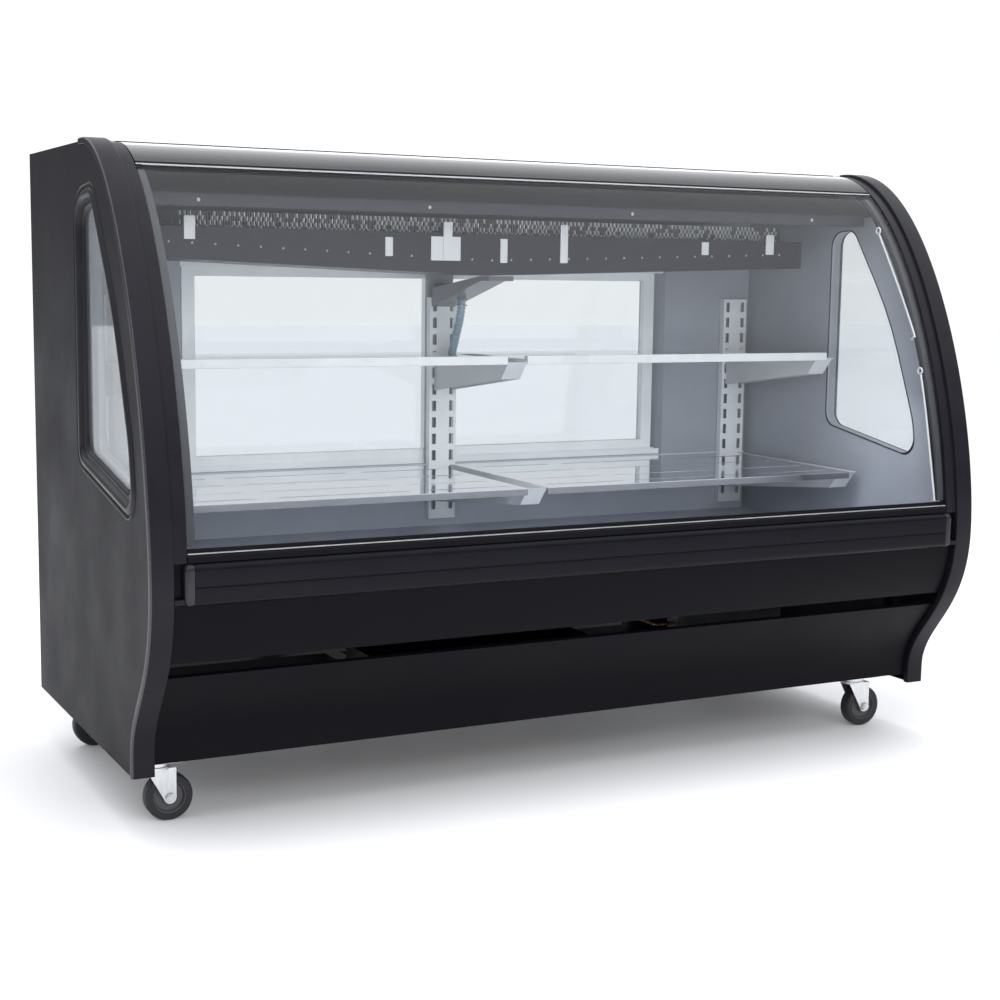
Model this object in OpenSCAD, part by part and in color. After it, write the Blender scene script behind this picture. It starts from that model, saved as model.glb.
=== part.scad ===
// Refrigerated deli case with a curved lift-up front glass, on four castors.
// X is the width, the customer side faces -Y, the floor is z = 0.

/* [Body] */
// Overall width across the end trims
case_w = 2000; // [1960:10:2100]
// Overall depth, front bumper to rear face
case_d = 983; // [980:1:990]
// Overall height at the top of the end trims
case_h = 1385; // [1380:1:1390]
// Height of the lower edge of the body above the floor
body_bottom = 125; // [120:1:128]
// Thickness of the insulated end walls
end_wall = 50; // [46:1:52]

/* [Openings] */
// Half width of the rear door opening
door_open_half = 676; // [640:4:688]
// Lower edge of the rear door opening
door_open_low = 637; // [634:1:650]
// Upper edge of the rear door opening
door_open_high = 1146; // [1120:1:1150]

/* [Shelves] */
// Height of the upper shelf's front strip, top edge
shelf_top = 932; // [925:1:940]
// Front edge of the upper shelf
shelf_front = -41; // [-50:1:-30]
// Height of the slotted deck
deck_top = 636; // [632:1:640]
// Front edge of the deck
deck_front = -150; // [-155:1:-140]

/* [Castors] */
// Radius of each castor wheel
wheel_r = 50; // [46:1:50]
// Width of each castor wheel
wheel_w = 32; // [28:1:34]
// Trail from the swivel axis to the wheel axle
castor_trail = 25; // [20:1:28]

/* [Hidden] */
$fn = 48;

half_w = case_w/2;
rear_y = case_d/2;
front_y = -case_d/2;
gap = 0.3;              // clearance between pieces on different bodies
sheet = 1.2;            // thickness of the sheet-metal pieces
foam_play = 0.1;        // clearance between the foam and the casing round it
far = 2*case_w;

// Side outline, as (y, z): a straight toe, two cubic stretches and a flat top
toe_y = -338;
toe_z = 165;
belly_y = -487;
belly_z = 530;
crown_y = -13;
lower_curve = [[toe_y, toe_z], [toe_y, 275], [belly_y, 320], [belly_y, belly_z]];
upper_curve = [[belly_y, belly_z], [belly_y, 834], [-287, case_h], [crown_y, case_h]];
lower_steps = 14;
upper_steps = 24;

// Widths measured from the centre to each step of the end construction
nose_in = half_w - 46.5;      // inner edge of the outer trim band
glass_channel = half_w - 74;  // inner edge of the recessed second band
ledge_in = half_w - 95;       // inner edge of the ledge that backs the glass
wall_in = half_w - end_wall;  // inner face of the end wall
skin_out = half_w - 4;        // outer face of the end skin
skin_in = skin_out - sheet;
glass_half = glass_channel - 2;
inner_half = wall_in - 0.2;   // half width of what fits between the end walls

// Depths of the steps below the side outline
nose_depth = 14;
band_depth = 7;
glass_depth = 10;
glass_t = 6;
ledge_depth = 24;
carrier_depth = 30;
canopy_depth = 60;
skin_top = case_h - 7;
floor_flange = 17;            // the end skin's bottom flange stops here, clear of the bolts
trim_back = 10;               // rear end of the trims

// Heights
glass_low = 590;
sill_low = 574;
upper_panel_low = 366;
lower_panel_high = 333;
lower_panel_low = 146;
canopy_low = 1275;
tub_low = 430;
frame_low = 132;
frame_tube = 40;
ceiling_z = case_h - canopy_depth;

// Rear wall and doors
wall_y = 385;                 // inner face of the rear wall
frame_back = 470;
leaf_t = 24;
track_y = [402, 430];         // front face of each sliding leaf
leaf_low = door_open_low + 5;
leaf_high = door_open_high - 8;
leaf_out = door_open_half - 8;
leaf_lap = 20;

// Hinge line of the front glass
hinge_y = -12;
hinge_z = 1370;
bulb_r = 3.5;
socket_in = bulb_r + 0.05;
socket_out = 6;

// Castor places: wheel centres
castor_x = half_w - 103;
castor_y = [-226, 385];

// ---- geometry helpers ----

function cubic(p, t) = pow(1 - t, 3)*p[0] + 3*pow(1 - t, 2)*t*p[1]
    + 3*(1 - t)*t*t*p[2] + pow(t, 3)*p[3];
function cubic_slope(p, t) = pow(1 - t, 2)*(p[1] - p[0]) + 2*(1 - t)*t*(p[2] - p[1])
    + t*t*(p[3] - p[2]);
function unit(v) = v/norm(v);

// Stations along the outline from the toe over the front to the rear, as [point, direction]
function stations() = concat(
    [[[toe_y, body_bottom], [0, 1]]],
    [for (i = [0:lower_steps]) let (t = i/lower_steps)
        [cubic(lower_curve, t), unit(cubic_slope(lower_curve, t))]],
    [for (i = [1:upper_steps]) let (t = i/upper_steps)
        [cubic(upper_curve, t), unit(cubic_slope(upper_curve, t))]],
    [[[rear_y, case_h], [1, 0]]]);
outline = stations();

// The outline moved inwards by a depth
function inset_line(depth) = [for (s = outline) s[0] + depth*[s[1][1], -s[1][0]]];
function reversed(p) = [for (i = [len(p) - 1:-1:0]) p[i]];

// A band between two depths below the outline
module band(outer, inner) polygon(concat(inset_line(outer), reversed(inset_line(inner))));

// Everything inside the outline below a depth, down to the body's lower edge
module region(depth) polygon(concat(inset_line(depth), [[rear_y, body_bottom]]));

// Half-planes of the side view, used to cut bands to length
module above(z) translate([-far, z]) square([2*far, far]);
module below(z) translate([-far, z - far]) square([2*far, far]);
module ahead_of(y) translate([y - far, -far/2]) square([far, 2*far]);
module behind(y) translate([y, -far/2]) square([far, 2*far]);

// Extrude a side view (y, z) along X
module along_x(x0, x1) translate([x0, 0, 0]) rotate([90, 0, 90]) linear_extrude(x1 - x0)
    children();
// Extrude a front view (x, z) along Y
module along_y(y0, y1) translate([0, y1, 0]) rotate([90, 0, 0]) linear_extrude(y1 - y0)
    children();
// Copy to both ends
module both_ends() {
    children();
    mirror([1, 0, 0]) children();
}
module block(lo, hi) translate(lo) cube(hi - lo);

// Bent sheet: a polyline given a thickness to its left
function left_of(a, b) = let (u = unit(b - a)) [-u[1], u[0]];
function bend_at(p, i) = let (
    n1 = i > 0 ? left_of(p[i - 1], p[i]) : left_of(p[0], p[1]),
    n2 = i < len(p) - 1 ? left_of(p[i], p[i + 1]) : n1) (n1 + n2)/(1 + n1*n2);
function moved(p, t) = [for (i = [0:len(p) - 1]) p[i] + t*bend_at(p, i)];
function bent(p, t) = concat(p, reversed(moved(p, t)));

// Closed outline of corners [y, z, radius], each rounded by an arc
function corner(v, i) = let (n = len(v), a = v[(i + n - 1)%n], b = v[i], c = v[(i + 1)%n],
    p = [b[0], b[1]], u = unit([a[0], a[1]] - p), w = unit([c[0], c[1]] - p),
    half = acos(u*w)/2, centre = p + unit(u + w)*b[2]/sin(half),
    from = p + u*b[2]/tan(half) - centre, to = p + w*b[2]/tan(half) - centre,
    a0 = atan2(from[1], from[0]), turn = (atan2(to[1], to[0]) - a0 + 540)%360 - 180,
    steps = max(2, round(abs(turn)/11)))
    [for (k = [0:steps]) centre + b[2]*[cos(a0 + turn*k/steps), sin(a0 + turn*k/steps)]];
function rounded(v) = [for (i = [0:len(v) - 1]) each corner(v, i)];
// The same corners moved inwards, each keeping a least radius; the corners run clockwise
function shrink(v, d, least) = let (n = len(v)) [for (i = [0:n - 1]) let (
    a = [v[(i + n - 1)%n][0], v[(i + n - 1)%n][1]], b = [v[i][0], v[i][1]],
    c = [v[(i + 1)%n][0], v[(i + 1)%n][1]], n1 = -left_of(a, b), n2 = -left_of(b, c),
    m = b + d*(n1 + n2)/(1 + n1*n2)) [m[0], m[1], max(least, v[i][2] - d)]];

// Round rod between two points
module rod(a, b, r) {
    d = b - a;
    translate(a) rotate([0, acos(d[2]/norm(d)), atan2(d[1], d[0])]) cylinder(r = r, h = norm(d));
}
// A route with each inner corner eased over a cut length
function eased(p, cut) = [p[0], for (i = [1:len(p) - 2]) let (
    a = p[i] + cut*unit(p[i - 1] - p[i]), c = p[i] + cut*unit(p[i + 1] - p[i]))
    each [for (t = [0:0.25:1]) (1 - t)*(1 - t)*a + 2*t*(1 - t)*p[i] + t*t*c], p[len(p) - 1]];
// Swept tube: rings square to the route, each carried on from the one before
tube_sides = 10;
function heading(p, i) = unit(p[min(i + 1, len(p) - 1)] - p[max(i - 1, 0)]);
function across(p, i, u) = let (d = heading(p, i), v = unit(u - (u*d)*d))
    concat([[d, v]], i < len(p) - 1 ? across(p, i + 1, v) : []);
function any_across(d) = abs(d[2]) < 0.9 ? [0, 0, 1] : [1, 0, 0];
module swept(p, r) {
    frames = across(p, 0, any_across(heading(p, 0)));
    n = tube_sides;
    last = len(p) - 1;
    points = [for (i = [0:last]) for (k = [0:n - 1]) let (d = frames[i][0], v = frames[i][1])
        p[i] + r*(cos(360*k/n)*v + sin(360*k/n)*cross(d, v))];
    sides = [for (i = [0:last - 1]) for (k = [0:n - 1])
        [(i + 1)*n + k, (i + 1)*n + (k + 1)%n, i*n + (k + 1)%n, i*n + k]];
    polyhedron(points, concat([[for (k = [0:n - 1]) k]], [[for (k = [n - 1:-1:0]) last*n + k]], sides));
}

// ---- end walls ----

window = [[-392, 625, 62], [-368, 790, 300], [-262, 1050, 900], [-88, 1296, 52],
    [72, 1284, 88], [72, 703, 55]];
sight_in = 50;          // distance from the window outline to the clear opening
sight_r = 40;           // least corner radius of the clear opening
module window_shape(d) polygon(rounded(shrink(window, d, d < sight_in ? 8 : sight_r)));

module skin_shape() {
    region(nose_depth);
    intersection() {
        region(case_h - skin_top);
        behind(trim_back);
    }
}
module end_skin() {
    along_x(skin_in, skin_out) difference() {
        skin_shape();
        window_shape(6);
    }
    block([wall_in + 5, rear_y - sheet, body_bottom], [skin_in, rear_y, skin_top]);
    block([wall_in + 5, trim_back + 1, skin_top - sheet], [skin_in, rear_y - sheet, skin_top]);
    block([wall_in + floor_flange, toe_y + nose_depth + 1, body_bottom],
        [skin_in, rear_y - sheet, body_bottom + sheet]);
}
module left_end_skin() color("#4c4b50") mirror([1, 0, 0]) end_skin();
module right_end_skin() color("#4c4b50") end_skin();

module end_foam() along_x(wall_in + sheet, skin_in) difference() {
    intersection() {
        region(carrier_depth + foam_play);
        above(tub_low);
        ahead_of(rear_y - sheet);
    }
    window_shape(6);
}
module tub_foam() {
    top = moved(liner_line, -sheet - foam_play);
    bottom = moved(shell_line, sheet + foam_play);
    along_x(-inner_half, inner_half) polygon(concat([for (i = [1:5]) top[i]], reversed(bottom)));
}
module roof_foam() block([-inner_half, 6, ceiling_z + 0.1], [inner_half, frame_back, skin_top - 2]);
module rear_foam() along_y(wall_y + sheet + foam_play, frame_back - sheet - foam_play)
    rear_shape(sheet + foam_play);
module foam_insulation() color("#e8dcae") {
    both_ends() end_foam();
    tub_foam();
    roof_foam();
    rear_foam();
}
module end_liners() color("#6c6f73") both_ends() along_x(wall_in, wall_in + sheet) difference() {
    intersection() {
        region(carrier_depth);
        above(tub_low);
        ahead_of(rear_y - sheet);
    }
    window_shape(sight_in);
}

// Trim: rounded nose, recessed second band and the ledge that backs the glass
module nose_slice(x0, x1, depth) along_x(x0, x1) intersection() {
    band(depth, nose_depth);
    ahead_of(trim_back);
}
module end_trim() {
    nose_slice(nose_in, half_w - 4, 0);
    nose_slice(half_w - 4, half_w - 1.5, 1.2);
    nose_slice(half_w - 1.5, half_w, 3.6);
    along_x(glass_channel, nose_in) intersection() {
        band(band_depth, carrier_depth);
        above(sill_low);
        ahead_of(3.5);
    }
    along_x(ledge_in, glass_channel) intersection() {
        band(ledge_depth, carrier_depth);
        above(sill_low + 30);
        ahead_of(-20);
    }
}
module left_trim() color("#232228") mirror([1, 0, 0]) end_trim();
module right_trim() color("#232228") end_trim();

// Double-glazed end window in its rubber gasket
module ring(outer, inner, x0, x1) along_x(x0, x1) difference() {
    window_shape(outer);
    window_shape(inner);
}
module window_gasket() {
    ring(0, 38, skin_out, half_w);
    ring(6, 16, wall_in + sheet, skin_out);
    ring(15.9, sight_in, half_w - 16, half_w - 10);
    ring(15.9, sight_in + 2, wall_in + sheet, wall_in + 6);
}
module window_gaskets() color("#2b2b31") both_ends() window_gasket();
module window_pane(x0) along_x(x0, x0 + glass_t) window_shape(16);
module window_panes() color("#dfe8ec", 0.4) both_ends() {
    window_pane(half_w - 16 - glass_t);
    window_pane(wall_in + 6);
}

// ---- cabinet ----

liner_line = [[-462, 572.5], [-455, 586], [-300, 500], [-250, 478], [60, 470], [383, 476],
    [383, door_open_low]];
shell_line = [[-457, 566], [-457, 541], [-291.5, tub_low], [384, tub_low]];
// The liner's front lip stops short of the trims at both ends
module tub_liner() color("#8b8f93") difference() {
    along_x(-inner_half, inner_half) polygon(bent(liner_line, -sheet));
    both_ends() block([glass_channel - gap, -far, sill_low - 10],
        [inner_half + 1, belly_y + carrier_depth + 4, far]);
}
module tub_shell() color("#2a2a2e") along_x(-inner_half, inner_half)
    polygon(bent(shell_line, sheet));

// Rear wall: a sheet casing round the door opening, open at the top for the foam
module rear_shape(inset) difference() {
    translate([-inner_half + inset, tub_low + inset])
        square([2*(inner_half - inset), ceiling_z - tub_low - inset]);
    translate([-door_open_half - inset, door_open_low - inset])
        square([2*(door_open_half + inset), door_open_high - door_open_low + 2*inset]);
}
module rear_frame() color("#6c6f73") {
    difference() {
        along_y(wall_y, frame_back) rear_shape(0);
        along_y(wall_y + sheet, frame_back - sheet) {
            rear_shape(sheet);
            translate([-inner_half + sheet, ceiling_z - 1]) square([2*(inner_half - sheet), 2]);
        }
    }
    block([-36, wall_y, door_open_low - 1], [36, wall_y + 13, door_open_high + 1]);
}

// Two-groove tracks for the sliding leaves
module track(z0, z1, lip) {
    block([-door_open_half + 0.2, 398.5, z0], [door_open_half - 0.2, 457.5, z1]);
    for (y = [398.5, 427, 455.5])
        block([-door_open_half + 0.2, y, min(z0, lip)], [door_open_half - 0.2, y + 2, max(z1, lip)]);
}
module door_tracks() color("#a9adb0") {
    track(door_open_low, door_open_low + 3, door_open_low + 14);
    track(door_open_high - 3, door_open_high, door_open_high - 18);
}

module roof_panel() color("#e9eaec") along_x(-nose_in + 0.5, nose_in - 0.5) polygon(bent(
    [[4.4, case_h - carrier_depth + 0.2], [4.4, skin_top], [rear_y, skin_top], [rear_y, 1330]],
    -sheet));

// Ceiling sheet that curves down behind the top of the glass
module canopy() color("#4b4b52") along_x(-inner_half, inner_half) {
    intersection() {
        band(canopy_depth, canopy_depth + sheet);
        above(canopy_low);
        ahead_of(wall_y);
    }
    translate([canopy_edge, canopy_low]) square([lamp_y[1] - canopy_edge, sheet]);
}
canopy_edge = -133.5;
lamp_y = [-128, -92];
lamp_half = inner_half - 22;
module lamp_housing() color("#55555b") difference() {
    block([-lamp_half, lamp_y[0], canopy_low - 25], [lamp_half, lamp_y[1], canopy_low - 0.1]);
    block([-lamp_half + 8, lamp_y[0] + 4, canopy_low - 26],
        [lamp_half - 8, lamp_y[1] - 4, canopy_low - 6]);
}

// Fixed half of the hinge: body, neck and bulb
module hinge_profile() color("#c4c7ca") along_x(-glass_half, glass_half) {
    translate([-3.5, 1348]) square([7.7, 28]);
    translate([hinge_y, hinge_z - 1.2]) square([9, 2.4]);
    translate([hinge_y, hinge_z]) circle(r = bulb_r);
}
// Moving half: socket round the bulb, and jaws that hold the glass
module socket_shape() difference() {
    circle(r = socket_out);
    circle(r = socket_in);
    polygon([[0, 0], for (a = [-26:28:86]) 20*[cos(a), sin(a)]]);
}
module glass_clamp() color("#d3d6d9") along_x(-glass_half, glass_half) {
    translate([hinge_y, hinge_z]) socket_shape();
    intersection() {
        union() {
            band(band_depth, glass_depth);
            band(glass_depth + glass_t, glass_depth + glass_t + 2.5);
        }
        above(1340);
        ahead_of(hinge_y - 5);
    }
    intersection() {
        band(band_depth, glass_depth + glass_t + 2.5);
        ahead_of(hinge_y - 5);
        behind(hinge_y - 12);
    }
}
module front_glass() color("#dcebee", 0.25) along_x(-glass_half, glass_half) intersection() {
    band(glass_depth, glass_depth + glass_t);
    above(glass_low);
    ahead_of(hinge_y - 12);
}

// Rubber-faced rail under the glass, and the side seals it closes on
module side_seal() along_x(ledge_in + 2, glass_channel - 2) intersection() {
    band(glass_depth + glass_t + gap, ledge_depth);
    above(glass_low + 14);
    below(1330);
}
module glass_sill() color("#1d1d21") {
    along_x(-glass_channel + 0.3, glass_channel - 0.3) polygon([[-481, sill_low],
        [-480, glass_low - 5], [-474, glass_low - gap], [-463, glass_low - gap],
        [-463, glass_low + 8], [-457, glass_low + 8], [-456, glass_low - 2], [-456, 588],
        [-463.5, 573.8]]);
    both_ends() side_seal();
}

// ---- front panels and bumper ----

panel_depth = 14;
module front_panel(z0, z1) along_x(-nose_in + 0.5, nose_in - 0.5) {
    intersection() {
        band(panel_depth, panel_depth + sheet);
        above(z0);
        below(z1);
    }
    for (z = [z0, z1 - sheet]) intersection() {
        band(panel_depth + 0.5, panel_depth + 9);
        above(z);
        below(z + sheet);
    }
}
module upper_front_panel() color("#26252b") front_panel(upper_panel_low, sill_low - 0.5);
module lower_front_panel() color("#26252b") front_panel(lower_panel_low, lower_panel_high);

bumper_low = 492;
bumper_high = 573;
bumper_back = belly_y + panel_depth - gap;
bumper = [[bumper_back, bumper_low, 2], [front_y, bumper_low, 13], [front_y, bumper_high, 13],
    [bumper_back, bumper_high, 2]];
bumper_half = half_w - 85;
cap_half = half_w - 65;
module bumper_rail() color("#242329") along_x(-bumper_half, bumper_half) difference() {
    polygon(rounded(bumper));
    translate([front_y - 1, 526.5]) square([2.8, 3]);
}
// End cap: the rail's section, rounded off in plan and in front view
cap_r = 12;
module bumper_cap() intersection() {
    along_x(bumper_half + 0.1, cap_half) polygon(rounded(bumper));
    translate([0, 0, bumper_low - 1]) linear_extrude(bumper_high - bumper_low + 2) union() {
        translate([bumper_half - 1, front_y - 1]) square([cap_half - cap_r - bumper_half + 1, 40]);
        translate([bumper_half - 1, front_y + cap_r]) square([cap_half - bumper_half + 1, 40]);
        translate([cap_half - cap_r, front_y + cap_r]) circle(r = cap_r);
    }
    along_y(front_y - 1, bumper_back + 1) translate([bumper_half - 40, 0]) polygon(rounded([
        [0, bumper_low, 1], [0, bumper_high, 1], [cap_half - bumper_half + 40, bumper_high, 18],
        [cap_half - bumper_half + 40, bumper_low, 18]]));
}
module bumper_caps() color("#2b2a31") both_ends() bumper_cap();

// ---- shelving ----

upright_at = half_w - 107;
upright_x = [-upright_at, 0, upright_at];
upright_low = 497;
upright_high = 1060;
upright_front = 364;
upright_half = 37.5;
upright_t = 1.5;
slot_x = 24;
slot_pitch = 42;
slot_w = 11;
slot_h = 26;
slot_low = upright_low + 24;
module upright() difference() {
    block([-upright_half, upright_front, upright_low], [upright_half, 382.5, upright_high]);
    block([-upright_half + upright_t, upright_front + upright_t, upright_low - 1],
        [upright_half - upright_t, 383.5, upright_high + 1]);
    for (z = [slot_low:slot_pitch:upright_high - slot_h - 5])
        for (x = [-slot_x, slot_x])
            block([x - slot_w/2, upright_front - 1, z], [x + slot_w/2, upright_front + 3, z + slot_h]);
}
module shelf_uprights() color("#c3c6c9") for (x = upright_x) translate([x, 0, 0]) upright();

// Bracket: two tapering cheeks joined by a slanting front plate; its hooks enter the slots
cheek_out = 25;
cheek_t = 2;
hook_h = 10;
hook_lift = 14;         // height of a hook above the lower end of its slot
function hook_z(top) = slot_low + hook_lift
    + slot_pitch*floor((top - hook_lift - hook_h - 4 - slot_low)/slot_pitch);
module bracket_cheek(front, top) along_x(cheek_out - cheek_t, cheek_out) {
    polygon([[upright_front - gap, top], [front, top], [front + 37, top - 42],
        [upright_front - gap, top - 92]]);
    for (z = [hook_z(top), hook_z(top) - slot_pitch]) translate([upright_front - 2, z])
        square([6, hook_h]);
}
module bracket(x, front, top) translate([x, 0, 0]) {
    both_ends() bracket_cheek(front, top);
    along_x(-cheek_out, cheek_out) intersection() {
        polygon(bent([[front, top], [front + 37, top - 42]], cheek_t));
        below(top);
    }
    both_ends() block([cheek_out - 0.1, front + 5, top - 2], [34, upright_front - 4, top]);
}
// The end brackets stop inside the shelf's front strip, the centre one passes between two
module shelf_brackets() color("#b9bcbf") for (x = upright_x) {
    bracket(x, x == 0 ? shelf_front - 1 : shelf_front + 3.5, shelf_top - 14.2);
    bracket(x, deck_front + 4, deck_top - 1.4);
}
shelf_in = 26;
shelf_out = half_w - 103;
shelf_back = 350;
module shelf_panes() color("#d8e4e6", 0.45) both_ends() block([shelf_in, shelf_front + 6, shelf_top - 14],
    [shelf_out, shelf_back, shelf_top - 8]);
module shelf_strips() color("#dcdee0") both_ends() along_x(shelf_in, shelf_out) difference() {
    polygon(rounded([[shelf_front, shelf_top - 20, 1.5], [shelf_front, shelf_top, 1.5],
        [shelf_front + 16, shelf_top, 1.5], [shelf_front + 16, shelf_top - 20, 1.5]]));
    translate([shelf_front + 6, shelf_top - 14]) square([20, glass_t]);
    translate([shelf_front + 3, shelf_top - 21]) square([20, 7.1]);
}

// Slotted decks: four rows of long round-ended slots, mirrored about the centre
deck_rows = [-98, 12, 142, 272];
deck_slots = [[50, 260], [300, 610], [655, 865]];
module deck_slot(x0, x1, y) {
    block([x0 + 5, y - 5, deck_top - 3], [x1 - 5, y + 5, deck_top + 1]);
    for (x = [x0 + 5, x1 - 5]) translate([x, y, deck_top - 3]) cylinder(r = 5, h = 4);
}
module deck() difference() {
    along_x(shelf_in, shelf_out) polygon(bent([[deck_front + 1, deck_top - 16],
        [deck_front, deck_top], [358, deck_top]], -sheet));
    for (y = deck_rows)
        for (s = deck_slots) deck_slot(s[0], s[1], y);
}
module deck_panels() color("#d5d9db") both_ends() deck();

// ---- evaporator ----

coil_half = half_w - 220;
coil_y = [60, 120, 180, 240, 300];
coil_z = [1180, 1222];
fin_pitch = 20;
tube_r = 5;
module coil_fins() color("#c9cccf") for (x = [-coil_half:fin_pitch:coil_half])
    translate([x, 0, 0]) along_x(-0.25, 0.25) difference() {
        translate([30, 1158]) square([300, 88]);
        for (y = coil_y)
            for (z = coil_z) translate([y, z]) circle(r = tube_r + 0.05);
    }
module coil_tubes() color("#b87347") for (z = coil_z) {
    for (y = coil_y) rod([-coil_half - 8, y, z], [coil_half + 8, y, z], tube_r);
    for (i = [0:len(coil_y) - 2]) let (end = i%2 == 0 ? 1 : -1)
        translate([end*(coil_half + 8), (coil_y[i] + coil_y[i + 1])/2, z])
            rotate([0, 0, end > 0 ? -90 : 90])
                rotate_extrude(angle = 180) translate([30, 0]) circle(r = tube_r);
}
pan_half = half_w - 165;
pan_end = 1145;
pan_mid = 1116;
pan_x = -60;            // place of the pan's lowest line
pan_rim = 1212;
pan_back = 345;
pan_line = [[-pan_half, pan_end], [pan_x, pan_mid], [pan_half, pan_end]];
module pan_side(y) along_y(y, y + sheet) polygon(concat(pan_line,
    [[pan_half, pan_rim], [-pan_half, pan_rim]]));
module drip_pan() color("#3f4147") {
    pan_side(0);
    pan_side(pan_back - sheet);
    difference() {
        along_y(sheet/2, pan_back - sheet/2) polygon(bent(pan_line, sheet));
        translate([-15, 100, pan_mid - 5]) cylinder(r = 10, h = 15);
    }
    for (s = [-1, 1]) block([s*pan_half - (s > 0 ? sheet : 0), sheet/2, pan_end],
        [s*pan_half + (s > 0 ? 0 : sheet), pan_back - sheet/2, pan_rim]);
}
// Hanger tabs along the front of the pan: [x, low, high, width, layer]
tab_t = 1.9;
hangers = [[-770, 1185, 1234, 24, 0], [-310, 1157, 1199, 18, 0], [-169, 1149, 1203, 74, 0],
    [-165, 1151, 1236, 22, 1], [-20, 1146, 1201, 18, 0], [140, 1148, 1237, 20, 0],
    [540, 1174, 1205, 20, 0], [735, 1178, 1227, 24, 0]];
module coil_hangers() color("#eceeef") for (h = hangers) let (face = -0.1 - h[4]*tab_t)
    block([h[0] - h[3]/2, face - tab_t, h[1]], [h[0] + h[3]/2, face, h[2]]);

trough_half = 33;
trough_top = pan_mid - 0.5;
trough_pts = [[50, 1104], [90, 1104], [362, 1037]];
module drain_trough() color("#83868b") {
    both_ends() along_x(trough_half - sheet, trough_half) polygon(concat(trough_pts,
        [[362, 1084], [90, trough_top], [50, trough_top]]));
    along_x(-trough_half + 0.1, trough_half - 0.1) polygon(bent(trough_pts, sheet));
    block([-trough_half + 0.1, 50, 1104], [trough_half - 0.1, 50 + sheet, trough_top]);
    translate([0, hose_route[0][1], hose_route[0][2]]) cylinder(r = hose_r, h = 7.5);
    difference() {
        block([-27, 362.2, 1044], [30, 363.8, 1096]);
        for (x = [-14, 14]) translate([x, 360, 1054]) rotate([-90, 0, 0]) cylinder(r = 4.5, h = 6);
    }
}
hose_r = 11;
hose_route = [[0, 262, 1056], [0, 262, 1042], [0, 266, 1021], [0, 274, 1000], [0, 284, 980],
    [0, 294, 960], [0, 304, 940], [0, 315, 920], [0, 327, 900], [0, 338, 884], [0, 350, 874],
    [0, upright_front - 4, 872], [0, upright_front - 0.2, 872]];
module drain_hose() color("#8fa3b3") {
    swept(hose_route, hose_r);
    translate([0, 262, 1042]) rotate_extrude() translate([hose_r + 2.2, 0]) circle(r = 2.2);
}

// ---- glass stay rods, stored beside the ledge at the right-hand end wall ----

stay_x = ledge_in - 4;
stay_r = 2.5;
stay_reach = wall_in - gap - stay_x;    // each rod's lower end turns outwards to the wall
stays = [[[stay_x, -221, 1229], [stay_x, -283, 1131], [stay_x, -326, 1060], [stay_x, -366, 989]],
    [[stay_x, -395, 896], [stay_x, -417, 812], [stay_x, -441, 704], [stay_x, -461, 606]]];
module glass_stay_rods() color("#e6e8ea") for (s = stays) {
    swept(eased(concat(s, [s[3] + [0, 14, -10], s[3] + [stay_reach, 14, -10]]), 6), stay_r);
    translate(s[0] + [0, 4, 9]) rotate([0, 90, 0]) rotate_extrude() translate([7.5, 0])
        circle(r = stay_r);
}

// ---- chassis ----

tube_front = castor_y[0] - frame_tube/2;
tube_rear = castor_y[1] - frame_tube/2;
tube_wall = 2;
post = 30;
frame_half = half_w - 25;
cross_x = [-frame_half, -320, 280, frame_half - frame_tube];
// Square tube, hollow along one axis; reach says how far the hollow passes each end
module square_tube(lo, hi, axis, reach = 1) difference() {
    block(lo, hi);
    block([for (i = [0:2]) lo[i] + (i == axis ? -reach : tube_wall)],
        [for (i = [0:2]) hi[i] + (i == axis ? reach : -tube_wall)]);
}
module base_frame() color("#37373b") difference() {
    union() {
        for (y = [tube_front, tube_rear]) square_tube([-frame_half, y, frame_low],
            [frame_half, y + frame_tube, frame_low + frame_tube], 0);
        for (x = cross_x) square_tube([x, tube_front + frame_tube - 0.1, frame_low],
            [x + frame_tube, tube_rear + 0.1, frame_low + frame_tube], 1);
        for (x = [-frame_half, frame_half - post])
            for (y = [tube_front, tube_rear]) square_tube([x, y, frame_low + frame_tube - 0.1],
                [x + post, y + post, tub_low - 0.5], 2);
    }
    castor_bolts(4.5);
}
// Four bolts round each swivel axis; two of them reach the long frame tube
bolt_dx = 36;
module castor_bolts(r) for (sx = [-1, 1])
    for (y = castor_y)
        for (dx = [-bolt_dx, bolt_dx])
            translate([pivot_x(sx) + dx, y, frame_low - 14]) cylinder(r = r, h = 60);
function pivot_x(side) = side*castor_x - castor_trail;

// ---- castors ----

plate_t = 4;
crown_top = 116.7;
module castor_plate(side, y) difference() {
    union() {
        block([pivot_x(side) - 48, y - 40, frame_low - plate_t], [pivot_x(side) + 48, y + 40, frame_low]);
        translate([pivot_x(side), y, crown_top + gap]) cylinder(r = 27, h = frame_low - plate_t - crown_top);
        translate([pivot_x(side), y, 104]) cylinder(r = 6, h = 24);
    }
    castor_bolts(4.5);
}
module castor_plates() color("#c0c2c4") for (side = [-1, 1])
    for (y = castor_y) castor_plate(side, y);

leg_y = wheel_w/2 + 3;
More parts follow.
